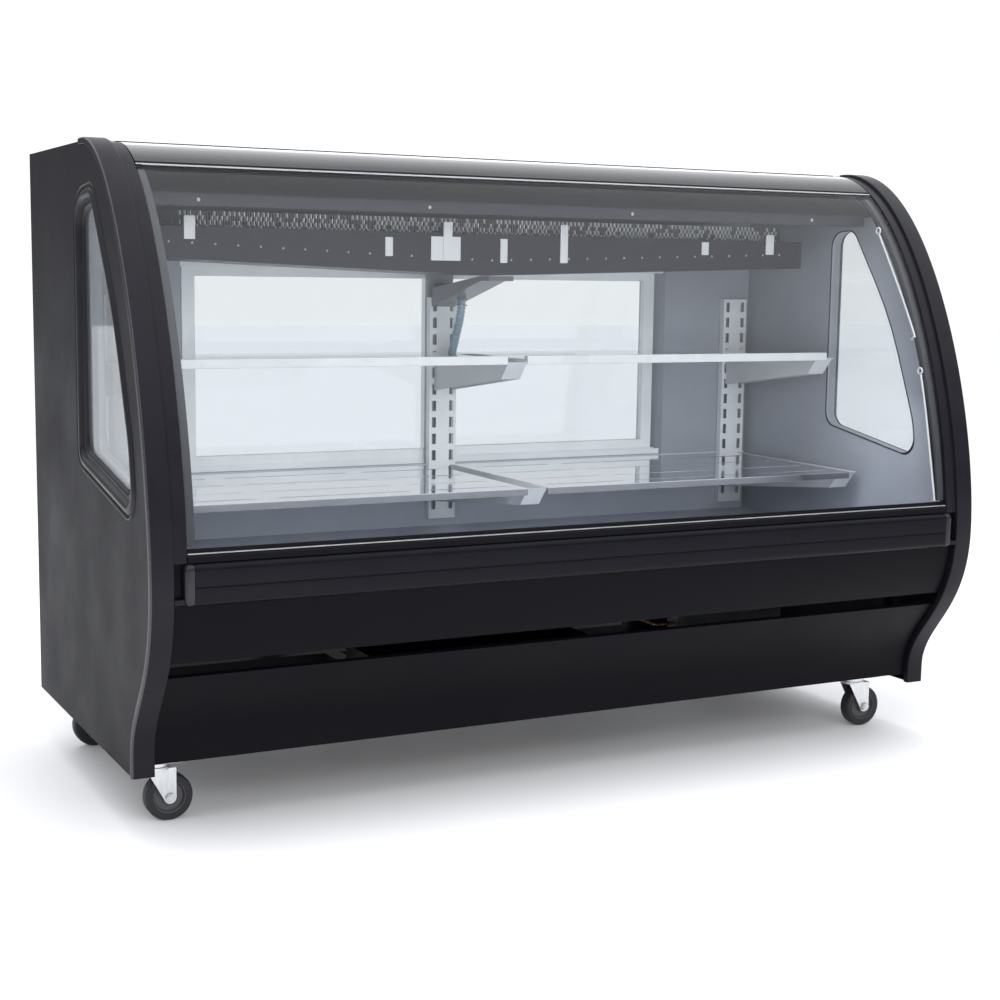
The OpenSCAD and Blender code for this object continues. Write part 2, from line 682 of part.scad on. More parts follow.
// Fork in its own frame: swivel axis at x = 0, axle at x = castor_trail
module fork() {
    difference() {
        translate([0, 0, 111]) cylinder(r = 30, h = crown_top - 111);
        translate([0, 0, 100]) cylinder(r = 6.1, h = 30);
    }
    for (s = [-1, 1]) along_y(s*leg_y - 1.5, s*leg_y + 1.5) difference() {
        union() {
            polygon([[-24, 112.5], [castor_trail + 13, 112.5], [castor_trail + 13, wheel_r],
                [castor_trail - 11, wheel_r - 6]]);
            translate([castor_trail, wheel_r]) circle(r = 13);
        }
        translate([castor_trail, wheel_r]) circle(r = 6.1);
    }
    difference() {
        block([-24, -leg_y - 1, 111], [castor_trail + 13, leg_y + 1, 113]);
        translate([0, 0, 100]) cylinder(r = 6.1, h = 30);
    }
    translate([castor_trail, -leg_y - 9, wheel_r]) rotate([-90, 0, 0]) cylinder(r = 6, h = 2*leg_y + 14);
    for (y = [-leg_y - 7.5, leg_y + 1.6]) translate([castor_trail, y, wheel_r]) rotate([-90, 0, 0])
        cylinder(r = 10, h = 6, $fn = 6);
}
module wheel() translate([castor_trail, 0, wheel_r]) rotate([90, 0, 0]) rotate_extrude() polygon([
    [6.1, -wheel_w/2 - 1], [14, -wheel_w/2 - 1], [14, -7], [34, -7], [36, -wheel_w/2],
    [wheel_r - 5, -wheel_w/2], [wheel_r - 1.2, -wheel_w/2 + 4], [wheel_r, -6], [wheel_r, 6],
    [wheel_r - 1.2, wheel_w/2 - 4], [wheel_r - 5, wheel_w/2], [36, wheel_w/2], [34, 7], [14, 7],
    [14, wheel_w/2 + 1], [6.1, wheel_w/2 + 1]]);
module castor_fork(side, row) color("#c9cbcd") translate([pivot_x(side), castor_y[row], 0]) fork();
module castor_wheel(side, row) color("#1b1b1d") translate([pivot_x(side), castor_y[row], 0]) wheel();

// ---- refrigeration unit under the tub ----

unit_z = frame_low + frame_tube;
fan_at = [500, -100, 285];
fan_r = 92;
module condenser() color("#9aa0a4") {
    block([350, -214, unit_z + 8], [650, -170, 398]);
    difference() {
        block([350, -170, unit_z + 8], [650, -168, 398]);
        translate([fan_at[0], -175, fan_at[2]]) rotate([-90, 0, 0]) cylinder(r = fan_r + 8, h = 20);
    }
    difference() {
        translate([fan_at[0], -168, fan_at[2]]) rotate([-90, 0, 0]) cylinder(r = fan_r + 10, h = 40);
        translate([fan_at[0], -169, fan_at[2]]) rotate([-90, 0, 0]) cylinder(r = fan_r + 8, h = 42);
    }
    block([320, -222, unit_z], [690, 250, unit_z + 3]);
    for (x = [350, 630]) block([x, -214, unit_z + 3], [x + 20, -172, unit_z + 8]);
}
module fan_motor() color("#55585c") {
    translate([fan_at[0], -88, fan_at[2]]) rotate([-90, 0, 0]) cylinder(r = 38, h = 55);
    translate([fan_at[0], -135, fan_at[2]]) rotate([-90, 0, 0]) cylinder(r = 4, h = 50);
    block([fan_at[0] - 10, -70, unit_z + 3], [fan_at[0] + 10, -50, fan_at[2] - 37]);
}
module fan_blade() color("#8d9195") translate([fan_at[0], -120, fan_at[2]]) rotate([-90, 0, 0])
    difference() {
        union() {
            translate([0, 0, -10]) cylinder(r = 20, h = 26);
            for (i = [0:4]) rotate([0, 0, 72*i]) translate([fan_r/2 + 8, 0, 3]) rotate([28, 0, 0])
                cube([fan_r - 20, 44, 1.6], center = true);
        }
        translate([0, 0, -30]) cylinder(r = 4.05, h = 60);
    }
comp_at = [500, 120];
comp_r = 86;
port_z = 300;
// Point on a level ray out of the compressor's axis
function from_shell(angle, r) = [comp_at[0] + r*cos(angle), comp_at[1] + r*sin(angle), port_z];
module compressor() color("#1f2023") translate([comp_at[0], comp_at[1], unit_z + 3]) {
    translate([0, 0, 12]) rotate_extrude() polygon([[0, 0], [70, 0], [comp_r - 2, 14],
        [comp_r, 30], [comp_r, 92], [comp_r + 4, 94], [comp_r + 4, 100], [comp_r, 102],
        [comp_r - 1, 130], [74, 156], [52, 172], [25, 180], [0, 182]]);
    for (x = [-80, 80])
        for (y = [-70, 70]) translate([x, y, 0]) cylinder(r = 12, h = 12);
    for (y = [-70, 70]) block([-92, y - 14, 12], [92, y + 14, 15]);
    block([84, -28, 60], [112, 28, 120]);
}
module refrigerant_lines() color("#b87347") {
    swept(eased([from_shell(45, comp_r + gap), from_shell(45, comp_r + 48), [760, 215, port_z],
        [760, 320, port_z], [760, 320, 380]], 18), 5);
    swept(eased([from_shell(225, comp_r + gap), from_shell(225, comp_r + 50), [300, 20, port_z],
        [300, -190, port_z], [349, -190, port_z]], 14), 4);
    swept(eased([[651, -190, 240], [720, -190, 240], [720, 59, 240]], 18), 4);
    rod([720, 60, 240], [720, 160, 240], 11);
    swept(eased([[720, 161, 240], [720, 240, 240], [800, 300, 240], [800, 330, 400]], 18), 3);
}
module drain_tray() color("#8b8f93") difference() {
    block([-310, -150, unit_z], [300, 250, unit_z + 45]);
    block([-308, -148, unit_z + 2], [298, 248, unit_z + 46]);
}

// ---- rear service panel and controls ----

panel_y = 472;
ctrl = [[690, 330], [870, 410]];
knob_at = [820, 370];
switch_at = [735, 370];
rocker_r = 9;
module control_box() color("#3a3b3f") difference() {
    union() {
        block([ctrl[0][0], 395, ctrl[0][1]], [ctrl[1][0], panel_y + 2, ctrl[1][1]]);
        translate([knob_at[0], panel_y + 1, knob_at[1]]) rotate([-90, 0, 0]) cylinder(r = 3, h = 11);
    }
    block([ctrl[0][0] + 2, 397, ctrl[0][1] + 2], [ctrl[1][0] - 2, panel_y, ctrl[1][1] - 2]);
    block([switch_at[0] - 11, panel_y - 1, switch_at[1] - rocker_r - 0.6],
        [switch_at[0] + 11, panel_y + 3, switch_at[1] + rocker_r + 0.6]);
}
module thermostat_knob() color("#1a1a1c") translate([knob_at[0], panel_y + 2 + gap, knob_at[1]])
    rotate([-90, 0, 0]) difference() {
        union() {
            cylinder(r = 18, h = 3);
            cylinder(r = 14, h = 15);
            translate([-2, 0, 3]) cube([4, 17, 12.5]);
        }
        translate([0, 0, -1]) cylinder(r = 3.05, h = 11);
    }
module light_switch() color("#b3261e") along_x(switch_at[0] - 10.5, switch_at[0] + 10.5)
    translate([panel_y, switch_at[1]]) difference() {
        circle(r = rocker_r);
        translate([-20, -20]) square([18, 40]);
        translate([20.5, 3]) circle(r = 14);
    }

louvre_pitch = 22;
module service_grille() color("#4c4b50") {
    difference() {
        block([-940, 484, body_bottom + 10], [940, 484 + sheet, tub_low - 6]);
        block([ctrl[0][0] - 6, 480, ctrl[0][1] - 6], [ctrl[1][0] + 6, 490, ctrl[1][1] + 6]);
        for (x = [-800:420:460])
            for (z = [190:louvre_pitch:380])
                block([x, 480, z], [x + 340, 490, z + 8]);
        translate([860, 480, 200]) rotate([-90, 0, 0]) cylinder(r = 4.5, h = 20);
        for (p = grille_screws) translate([p[0], 480, p[1]]) rotate([-90, 0, 0]) cylinder(r = 2.3, h = 10);
    }
    block([-940, 470.5, tub_low - 7.2], [940, 485, tub_low - 6]);
    translate([860, 485, 200]) rotate([-90, 0, 0]) difference() {
        cylinder(r = 9, h = 6.5);
        translate([0, 0, -1]) cylinder(r = 4.5, h = 9);
    }
}
grille_screws = [for (x = [-920, -430, 410, 920]) for (z = [150, 412]) [x, z]];

module fasteners() color("#d0d2d4") {
    for (sx = [-1, 1])
        for (y = castor_y)
            for (dx = [-bolt_dx, bolt_dx]) translate([pivot_x(sx) + dx, y, frame_low - plate_t]) {
                translate([0, 0, -5]) cylinder(r = 6.5, h = 5, $fn = 6);
                cylinder(r = 4, h = 30);
            }
    for (p = grille_screws) translate([p[0], 484 + sheet, p[1]]) rotate([-90, 0, 0]) {
        cylinder(r = 4.2, h = 2.4);
        translate([0, 0, -10]) cylinder(r = 2, h = 10.2);
    }
}

// ---- rear sliding doors ----

stile = 32;
pull_w = 22;
pull_h = 110;
module leaf(x0, x1, y, pull_x) difference() {
    block([x0, y, leaf_low], [x1, y + leaf_t, leaf_high]);
    block([x0 + stile, y - 1, leaf_low + stile], [x1 - stile, y + leaf_t + 1, leaf_high - stile]);
    block([pull_x - pull_w/2, y + leaf_t - 9, 835], [pull_x + pull_w/2, y + leaf_t + 1, 835 + pull_h]);
}
module leaf_panes(x0, x1, y) for (dy = [3, 17]) block([x0 + stile, y + dy, leaf_low + stile],
    [x1 - stile, y + dy + 4, leaf_high - stile]);
module door_left_frame() color("#d7dadc") leaf(-leaf_out, leaf_lap, track_y[0], -leaf_out + stile/2);
module door_left_panes() color("#dfe8ec", 0.4) leaf_panes(-leaf_out, leaf_lap, track_y[0]);
module door_right_frame() color("#d7dadc") leaf(-leaf_lap, leaf_out, track_y[1], leaf_out - stile/2);
module door_right_panes() color("#dfe8ec", 0.4) leaf_panes(-leaf_lap, leaf_out, track_y[1]);

base_frame();
castor_plates();
left_end_skin();
right_end_skin();
foam_insulation();
end_liners();
left_trim();
right_trim();
window_gaskets();
window_panes();
tub_liner();
tub_shell();
rear_frame();
door_tracks();
roof_panel();
canopy();
hinge_profile();
glass_sill();
bumper_rail();
bumper_caps();
upper_front_panel();
lower_front_panel();
shelf_uprights();
shelf_brackets();
shelf_panes();
shelf_strips();
deck_panels();
coil_fins();
coil_tubes();
coil_hangers();
drip_pan();
drain_trough();
drain_hose();
lamp_housing();
glass_stay_rods();
compressor();
condenser();
fan_motor();
refrigerant_lines();
drain_tray();
control_box();
service_grille();
fasteners();
front_glass();
glass_clamp();
door_left_frame();
door_left_panes();
door_right_frame();
door_right_panes();
fan_blade();
thermostat_knob();
light_switch();
castor_fork(-1, 0);  // castor_fork_front_left
castor_fork(1, 0);  // castor_fork_front_right
castor_fork(-1, 1);  // castor_fork_rear_left
castor_fork(1, 1);  // castor_fork_rear_right
castor_wheel(-1, 0);  // castor_wheel_front_left
castor_wheel(1, 0);  // castor_wheel_front_right
castor_wheel(-1, 1);  // castor_wheel_rear_left
castor_wheel(1, 1);  // castor_wheel_rear_right
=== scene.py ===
import math

import bmesh
import bpy
from mathutils import Matrix, Vector

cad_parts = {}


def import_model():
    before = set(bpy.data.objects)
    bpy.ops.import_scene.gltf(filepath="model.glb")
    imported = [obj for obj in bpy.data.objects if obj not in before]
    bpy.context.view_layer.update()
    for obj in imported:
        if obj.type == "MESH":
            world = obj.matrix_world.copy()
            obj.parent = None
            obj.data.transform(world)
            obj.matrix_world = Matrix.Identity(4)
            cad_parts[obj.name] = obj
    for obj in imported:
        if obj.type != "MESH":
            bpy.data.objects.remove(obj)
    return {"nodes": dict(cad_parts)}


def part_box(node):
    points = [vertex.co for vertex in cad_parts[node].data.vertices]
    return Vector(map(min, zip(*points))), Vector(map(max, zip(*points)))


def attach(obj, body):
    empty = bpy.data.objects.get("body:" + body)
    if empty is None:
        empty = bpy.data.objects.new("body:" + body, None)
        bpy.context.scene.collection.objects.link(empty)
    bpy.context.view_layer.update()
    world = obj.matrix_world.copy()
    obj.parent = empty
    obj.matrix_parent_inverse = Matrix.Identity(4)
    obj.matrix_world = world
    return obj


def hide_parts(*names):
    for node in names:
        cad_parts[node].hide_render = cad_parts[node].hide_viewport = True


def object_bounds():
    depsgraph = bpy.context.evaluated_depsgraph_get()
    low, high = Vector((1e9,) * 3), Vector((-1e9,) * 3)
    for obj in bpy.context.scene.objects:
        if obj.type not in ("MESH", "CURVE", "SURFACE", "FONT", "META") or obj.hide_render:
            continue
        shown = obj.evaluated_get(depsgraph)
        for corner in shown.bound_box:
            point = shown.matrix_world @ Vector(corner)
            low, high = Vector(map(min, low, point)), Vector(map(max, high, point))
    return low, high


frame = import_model()
cad_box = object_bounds()

# ---- sizes taken from the frame, in metres ----

half_w = cad_box[1].x
case_h = cad_box[1].z
front_y = cad_box[0].y
trim_low, trim_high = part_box("right_trim")
belly_y = trim_low.y
trim_back = trim_high.y
body_bottom = trim_low.z
glass_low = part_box("front_glass")[0].z
glass_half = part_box("front_glass")[1].x
sill_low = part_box("glass_sill")[0].z
bumper_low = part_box("bumper_rail")[0].z
bumper_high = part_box("bumper_rail")[1].z
bumper_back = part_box("bumper_rail")[1].y
bumper_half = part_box("bumper_rail")[1].x
cap_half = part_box("bumper_caps")[1].x
canopy_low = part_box("canopy")[0].z
canopy_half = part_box("canopy")[1].x
nose_in = trim_high.x - 0.0465
channel_in = half_w - 0.074
ledge_in = trim_low.x
skin_out = half_w - 0.004
liner_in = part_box("end_liners")[1].x - 0.0012

# Depths below the side outline
GLASS_OUTER = 0.010
GLASS_INNER = 0.016
CLAMP_OUTER = 0.0073
CLAMP_INNER = 0.0185
BAND_BACK = 0.030              # rear of the trims' recessed band
LEDGE = 0.024                  # face of the ledge behind the glass
CANOPY = 0.060
SHEET = 0.0012                 # thickness of folded sheet metal

# Side outline as (y, z): the toe, the belly and the crown of the end panels
TOE = (-0.338, 0.165)
BELLY = (belly_y, 0.530)
LOWER = [TOE, (TOE[0], 0.275), (BELLY[0], 0.320), BELLY]
UPPER = [BELLY, (BELLY[0], 0.834), (-0.287, case_h), (-0.013, case_h)]
HINGE = (-0.012, 1.370)
WINDOW = [(-0.392, 0.625, 0.062), (-0.368, 0.790, 0.300), (-0.262, 1.050, 0.900),
          (-0.088, 1.296, 0.052), (0.072, 1.284, 0.088), (0.072, 0.703, 0.055)]


# ---- mesh helpers ----

class Shape:
    """Vertices and faces gathered for one piece, with a material slot for each face."""

    def __init__(self):
        self.verts = []
        self.faces = []
        self.slots = []

    def face(self, indices, slot=0):
        self.faces.append(tuple(indices))
        self.slots.append(slot)

    def rings(self, rings, loop=False, slot=0):
        """Quads between closed rings, capped unless they loop; slot may be a list, one for each side."""
        start, size, count = len(self.verts), len(rings[0]), len(rings)
        side_slots = slot if isinstance(slot, list) else [slot] * size
        for ring in rings:
            self.verts.extend(tuple(p) for p in ring)
        for i in range(count if loop else count - 1):
            a = start + i * size
            b = start + (i + 1) % count * size
            for k in range(size):
                after = (k + 1) % size
                self.face((a + k, a + after, b + after, b + k), side_slots[k])
        if not loop:
            self.face(reversed(range(start, start + size)), side_slots[0])
            self.face(range(start + (count - 1) * size, start + count * size), side_slots[0])

    def extrude(self, section, x0, x1, slot=0, cuts=1):
        """A closed (y, z) section run along X."""
        xs = [x0 + (x1 - x0) * i / cuts for i in range(cuts + 1)]
        self.rings([[(x, y, z) for y, z in section] for x in xs], slot=slot)

    def block(self, lo, hi):
        section = [(lo[1], lo[2]), (hi[1], lo[2]), (hi[1], hi[2]), (lo[1], hi[2])]
        self.extrude(section, lo[0], hi[0])

    def tube(self, points, radius, sides, slot=0, loop=False):
        """A round tube along points; radius may be a list with one value each."""
        radii = radius if isinstance(radius, list) else [radius] * len(points)
        points = [Vector(p) for p in points]
        rings = []
        side = None
        for i, p in enumerate(points):
            before = points[i - 1] if i or loop else points[0]
            after = points[(i + 1) % len(points)] if i < len(points) - 1 or loop else points[-1]
            ahead = (after - before).normalized()
            if side is None:
                side = ahead.orthogonal().normalized()
            side = (side - ahead * side.dot(ahead)).normalized()
            other = ahead.cross(side)
            rings.append([p + radii[i] * (math.cos(a) * side + math.sin(a) * other)
                          for a in turns(sides)])
        self.rings(rings, loop=loop, slot=slot)

    def lathe(self, profile, centre, axis, sides, slot=0):
        """A closed (radius, height) profile turned round an axis through centre."""
        centre, axis = Vector(centre), Vector(axis).normalized()
        u = axis.orthogonal().normalized()
        v = axis.cross(u)
        rings = [[centre + axis * h + r * (math.cos(a) * u + math.sin(a) * v) for r, h in profile]
                 for a in turns(sides)]
        self.rings(rings, loop=True, slot=slot)

    def piece(self, name, materials, body="case", replaces=(), bevel=0.0, sharp=35):
        """Make the object, ride it on a body and let it stand for CAD nodes."""
        mesh = bpy.data.meshes.new(name)
        mesh.from_pydata(self.verts, [], self.faces)
        mesh.polygons.foreach_set("material_index", self.slots)
        work = bmesh.new()
        work.from_mesh(mesh)
        bmesh.ops.remove_doubles(work, verts=work.verts, dist=1e-6)
        bmesh.ops.recalc_face_normals(work, faces=work.faces)
        work.to_mesh(mesh)
        work.free()
        mesh.shade_smooth()
        mesh.set_sharp_from_angle(angle=math.radians(sharp))
        for material in materials if isinstance(materials, (list, tuple)) else [materials]:
            mesh.materials.append(material)
        obj = bpy.data.objects.new(name, mesh)
        bpy.context.scene.collection.objects.link(obj)
        if bevel:
            round_edges(obj, bevel)
        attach(obj, body)
        if replaces:
            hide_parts(*replaces)
        return obj


def turns(sides):
    """Equal angles round a full turn."""
    return [2 * math.pi * k / sides for k in range(sides)]


def round_edges(obj, width):
    """Round every sharp edge of a piece."""
    bevel = obj.modifiers.new("edges", "BEVEL")
    bevel.width = width
    bevel.segments = 2
    bevel.limit_method = "ANGLE"
    bevel.angle_limit = math.radians(40)
    bevel.harden_normals = True


def cubic(p, t):
    """Point at t on the cubic curve with the four control points p."""
    s = 1 - t
    return tuple(s**3 * a + 3 * s * s * t * b + 3 * s * t * t * c + t**3 * d for a, b, c, d in zip(*p))


def outline(low, back=trim_back):
    """Stations up the side outline, from height low to place back: (y, z, inward y, inward z)."""
    line = [(TOE[0], body_bottom)]
    line += [cubic(LOWER, i / 32) for i in range(33)]
    line += [cubic(UPPER, i / 64) for i in range(1, 65)]
    line.append((cad_box[1].y, case_h))
    found = []
    for i, (y, z) in enumerate(line):
        ahead = Vector(line[min(i + 1, len(line) - 1)]) - Vector(line[max(i - 1, 0)])
        ahead.normalize()
        found.append((y, z, ahead.y, -ahead.x))
    kept = [s for s in found if s[1] > low + 0.001 and s[0] < back - 0.0005]
    first, last = found.index(kept[0]), found.index(kept[-1])
    if first:
        kept.insert(0, between(found[first - 1], found[first], 1, low))
    kept.append(between(found[last], found[last + 1], 0, back))
    return kept


def between(a, b, axis, value):
    """The station between a and b where one coordinate reaches a value."""
    t = (value - a[axis]) / (b[axis] - a[axis])
    return tuple(p + (q - p) * t for p, q in zip(a, b))


def outline_between(low, high):
    """Stations of the outline between two heights."""
    kept = [s for s in outline(low) if s[1] < high - 0.001]
    last = outline(high)[0]
    return kept + [last]


def inset(stations, depth):
    """The (y, z) line at a depth inside the outline."""
    return [(y + depth * ny, z + depth * nz) for y, z, ny, nz in stations]


def layer(stations, outer, inner):
    """Closed section between two depths."""
    return inset(stations, outer) + inset(stations, inner)[::-1]


def arc(centre, radius, start, end, steps):
    """Points along an arc from one angle to another, in degrees."""
    return [(centre[0] + radius * math.cos(math.radians(start + (end - start) * i / steps)),
             centre[1] + radius * math.sin(math.radians(start + (end - start) * i / steps)))
            for i in range(steps + 1)]


def rounded(corners, detail=9.0):
    """A closed line through (u, v, radius) corners, each rounded by an arc."""
    line = []
    count = len(corners)
    for i, (u, v, radius) in enumerate(corners):
        here = Vector((u, v))
        back = (Vector(corners[i - 1][:2]) - here).normalized()
        ahead = (Vector(corners[(i + 1) % count][:2]) - here).normalized()
        if radius <= 0:
            line.append((u, v))
            continue
        half = back.angle(ahead) / 2
        centre = here + (back + ahead).normalized() * radius / math.sin(half)
        a = here + back * radius / math.tan(half) - centre
        b = here + ahead * radius / math.tan(half) - centre
        start = math.atan2(a.y, a.x)
        turn = (math.atan2(b.y, b.x) - start + 3 * math.pi) % (2 * math.pi) - math.pi
        steps = max(3, round(abs(math.degrees(turn)) / detail))
        for k in range(steps + 1):
            angle = start + turn * k / steps
            line.append((centre.x + radius * math.cos(angle), centre.y + radius * math.sin(angle)))
    return line


def curve_points(points, steps):
    """A smooth line through given points (Catmull-Rom)."""
    points = [Vector(p) for p in points]
    line = []
    for i in range(len(points) - 1):
        p0 = points[max(i - 1, 0)]
        p1, p2 = points[i], points[i + 1]
        p3 = points[min(i + 2, len(points) - 1)]
        for k in range(steps):
            t = k / steps
            line.append(0.5 * (2 * p1 + (p2 - p0) * t + (2 * p0 - 5 * p1 + 4 * p2 - p3) * t * t
                               + (3 * p1 - p0 - 3 * p2 + p3) * t**3))
    line.append(points[-1])
    return line


# ---- materials ----

def spread(nodes, links, value, source, target):
    """A node that maps a socket's value from one range to another."""
    node = nodes.new("ShaderNodeMapRange")
    for socket, number in zip(("From Min", "From Max", "To Min", "To Max"), (*source, *target)):
        node.inputs[socket].default_value = number
    links.new(value, node.inputs["Value"])
    return node


def compute(nodes, links, operation, first, second):
    """The result of a sum on a socket and either a number or another socket."""
    node = nodes.new("ShaderNodeMath")
    node.operation = operation
    links.new(first, node.inputs[0])
    if isinstance(second, float):
        node.inputs[1].default_value = second
    else:
        links.new(second, node.inputs[1])
    return node.outputs["Value"]


class Finish:
    """A Principled material whose colour, roughness and bump come from procedural nodes."""

    def __init__(self, name, colour, roughness, metallic=0.0, coat=0.0, ior=1.5):
        self.material = bpy.data.materials.new(name)
        self.material.use_nodes = True
        self.nodes = self.material.node_tree.nodes
        self.links = self.material.node_tree.links
        self.bsdf = self.nodes["Principled BSDF"]
        self.bsdf.inputs["Base Color"].default_value = (*colour, 1)
        self.bsdf.inputs["Roughness"].default_value = roughness
        self.bsdf.inputs["Metallic"].default_value = metallic
        self.bsdf.inputs["Coat Weight"].default_value = coat
        self.bsdf.inputs["Coat Roughness"].default_value = 0.12
        self.bsdf.inputs["IOR"].default_value = ior
        self.place = self.nodes.new("ShaderNodeTexCoord").outputs["Object"]
        self.normal = None

    def stretched(self, scale):
        """Place on the object, with each axis scaled."""
        mapping = self.nodes.new("ShaderNodeMapping")
        mapping.inputs["Scale"].default_value = scale
        self.links.new(self.place, mapping.inputs["Vector"])
        return mapping.outputs["Vector"]

    def noise(self, scale, detail, stretch=None):
        texture = self.nodes.new("ShaderNodeTexNoise")
        texture.inputs["Scale"].default_value = scale
        texture.inputs["Detail"].default_value = detail
        texture.inputs["Roughness"].default_value = 0.55
        self.links.new(self.stretched(stretch) if stretch else self.place, texture.inputs["Vector"])
        return texture.outputs["Fac"]

    def mottle(self, dark, light, scale, stretch=None):
        """Base colour that drifts between two shades."""
        ramp = self.nodes.new("ShaderNodeValToRGB")
        for mark, place, shade in zip(ramp.color_ramp.elements, (0.35, 0.65), (dark, light)):
            mark.position = place
            mark.color = (*shade, 1)
        self.links.new(self.noise(scale, 5, stretch), ramp.inputs["Fac"])
        self.links.new(ramp.outputs["Color"], self.bsdf.inputs["Base Color"])

    def sheen_drift(self, low, high, scale, stretch=None):
        """Roughness that drifts between two values, as handled surfaces show."""
        drift = spread(self.nodes, self.links, self.noise(scale, 6, stretch), (0.3, 0.7), (low, high))
        self.links.new(drift.outputs["Result"], self.bsdf.inputs["Roughness"])

    def shade_along(self, axis, stops):
        """Base colour that runs through (place, grey) stops along one axis, in metres."""
        parts = self.nodes.new("ShaderNodeSeparateXYZ")
        self.links.new(self.place, parts.inputs["Vector"])
        first, last = stops[0][0], stops[-1][0]
        along = spread(self.nodes, self.links, parts.outputs[axis], (first, last), (0, 1))
        ramp = self.nodes.new("ShaderNodeValToRGB")
        marks = ramp.color_ramp.elements
        while len(marks) < len(stops):
            marks.new(0.5)
        for mark, (place, grey) in zip(marks, stops):
            mark.position = (place - first) / (last - first)
            mark.color = (grey, grey, grey * 1.02, 1)
        self.links.new(along.outputs["Result"], ramp.inputs["Fac"])
        self.links.new(ramp.outputs["Color"], self.bsdf.inputs["Base Color"])

    def gloss_along_height(self, low, high):
        """Mirror strength that runs from one (height, level) to another: painted shade that dims the
        reflection low down.
        """
        parts = self.nodes.new("ShaderNodeSeparateXYZ")
        self.links.new(self.place, parts.inputs["Vector"])
        heights, levels = zip(low, high)
        level = spread(self.nodes, self.links, parts.outputs["Z"], heights, levels)
        self.links.new(level.outputs["Result"], self.bsdf.inputs["Specular IOR Level"])

    def soften(self, radius):
        """Rounded edges in the shading, for parts cut from sheet and tube."""
        bevel = self.nodes.new("ShaderNodeBevel")
        bevel.samples = 4
        bevel.inputs["Radius"].default_value = radius
        self.links.new(bevel.outputs["Normal"], self.bsdf.inputs["Normal"])
        self.normal = bevel.outputs["Normal"]

    def bump(self, scale, distance, strength, stretch=None):
        """Fine relief from noise, on top of any relief already there."""
        node = self.nodes.new("ShaderNodeBump")
        node.inputs["Strength"].default_value = strength
        node.inputs["Distance"].default_value = distance
        self.links.new(self.noise(scale, 3, stretch), node.inputs["Height"])
        if self.normal:
            self.links.new(self.normal, node.inputs["Normal"])
        self.links.new(node.outputs["Normal"], self.bsdf.inputs["Normal"])
        self.normal = node.outputs["Normal"]


def shades(colour, step):
    """A darker and a lighter shade of a colour."""
    return [c * (1 - step) for c in colour], [c * (1 + step) for c in colour]


def paint(name, colour, roughness, ior=1.5, peel=0.1, drift=0.04, gloss=None):
    """Powder coat with a fine orange peel, left off where peel is 0."""
    made = Finish(name, colour, roughness, ior=ior)
    made.mottle(*shades(colour, drift), 9)
    made.sheen_drift(roughness - 0.05, roughness + 0.07, 5)
    made.soften(0.001)
    if peel:
        made.bump(520, 0.0002, peel)
    if gloss:
        made.gloss_along_height(*gloss)
    return made.material


def plastic(name, colour, roughness, coat=0.0, grain=900, ior=1.5, gloss=None):
    """Moulded plastic with a fine grain."""
    made = Finish(name, colour, roughness, coat=coat, ior=ior)
    made.mottle(*shades(colour, 0.10), 14)
    made.sheen_drift(roughness - 0.05, roughness + 0.08, 7)
    made.soften(0.0008)
    made.bump(grain, 0.0002, 0.2)
    if gloss:
        made.gloss_along_height(*gloss)
    return made.material


def brushed(name, colour, roughness, stretch=(2, 90, 90)):
    """Metal with a drawn grain along one axis."""
    made = Finish(name, colour, roughness, metallic=1.0)
    made.mottle(*shades(colour, 0.05), 6, stretch)
    made.sheen_drift(roughness - 0.08, roughness + 0.1, 8, stretch)
    made.soften(0.0006)
    made.bump(14, 0.00004, 0.12, stretch)
    return made.material


def deck_steel():
    """Mirror-rolled sheet with the faintest drawn grain, its lip below the top face painted darker as shade.
    """
    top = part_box("deck_panels")[1].z
    made = Finish("deck_stainless", (0.88, 0.90, 0.92), 0.05, metallic=1.0)
    # Painted shade: the base colour drops to dark grey on the lip below the top face.
    made.shade_along("Z", [(top - 0.018, 0.36), (top - 0.0025, 0.38), (top - 0.0008, 0.89), (top, 0.90)])
    made.sheen_drift(0.03, 0.11, 6, (1.5, 40, 40))
    made.soften(0.0012)
    made.bump(9, 0.00002, 0.1, (2, 40, 40))
    return made.material


def hinge_metal():
    """Rolled bright profile, with a painted highlight on its crown falling through grey to painted shade
    toward the glass.
    """
    made = Finish("hinge_metal_painted_highlight", (0.6, 0.6, 0.62), 0.3, metallic=0.35)
    # Painted highlight and shade: the base colour runs from near white at the rear to near black at the front
    # edge.
    made.shade_along("Y", [(-0.135, 0.05), (-0.115, 0.10), (-0.095, 0.17), (-0.072, 0.32), (-0.058, 0.85),
                           (-0.02, 0.95)])
    made.sheen_drift(0.24, 0.36, 8, (2, 90, 90))
    made.bump(14, 0.00004, 0.12, (2, 90, 90))
    return made.material


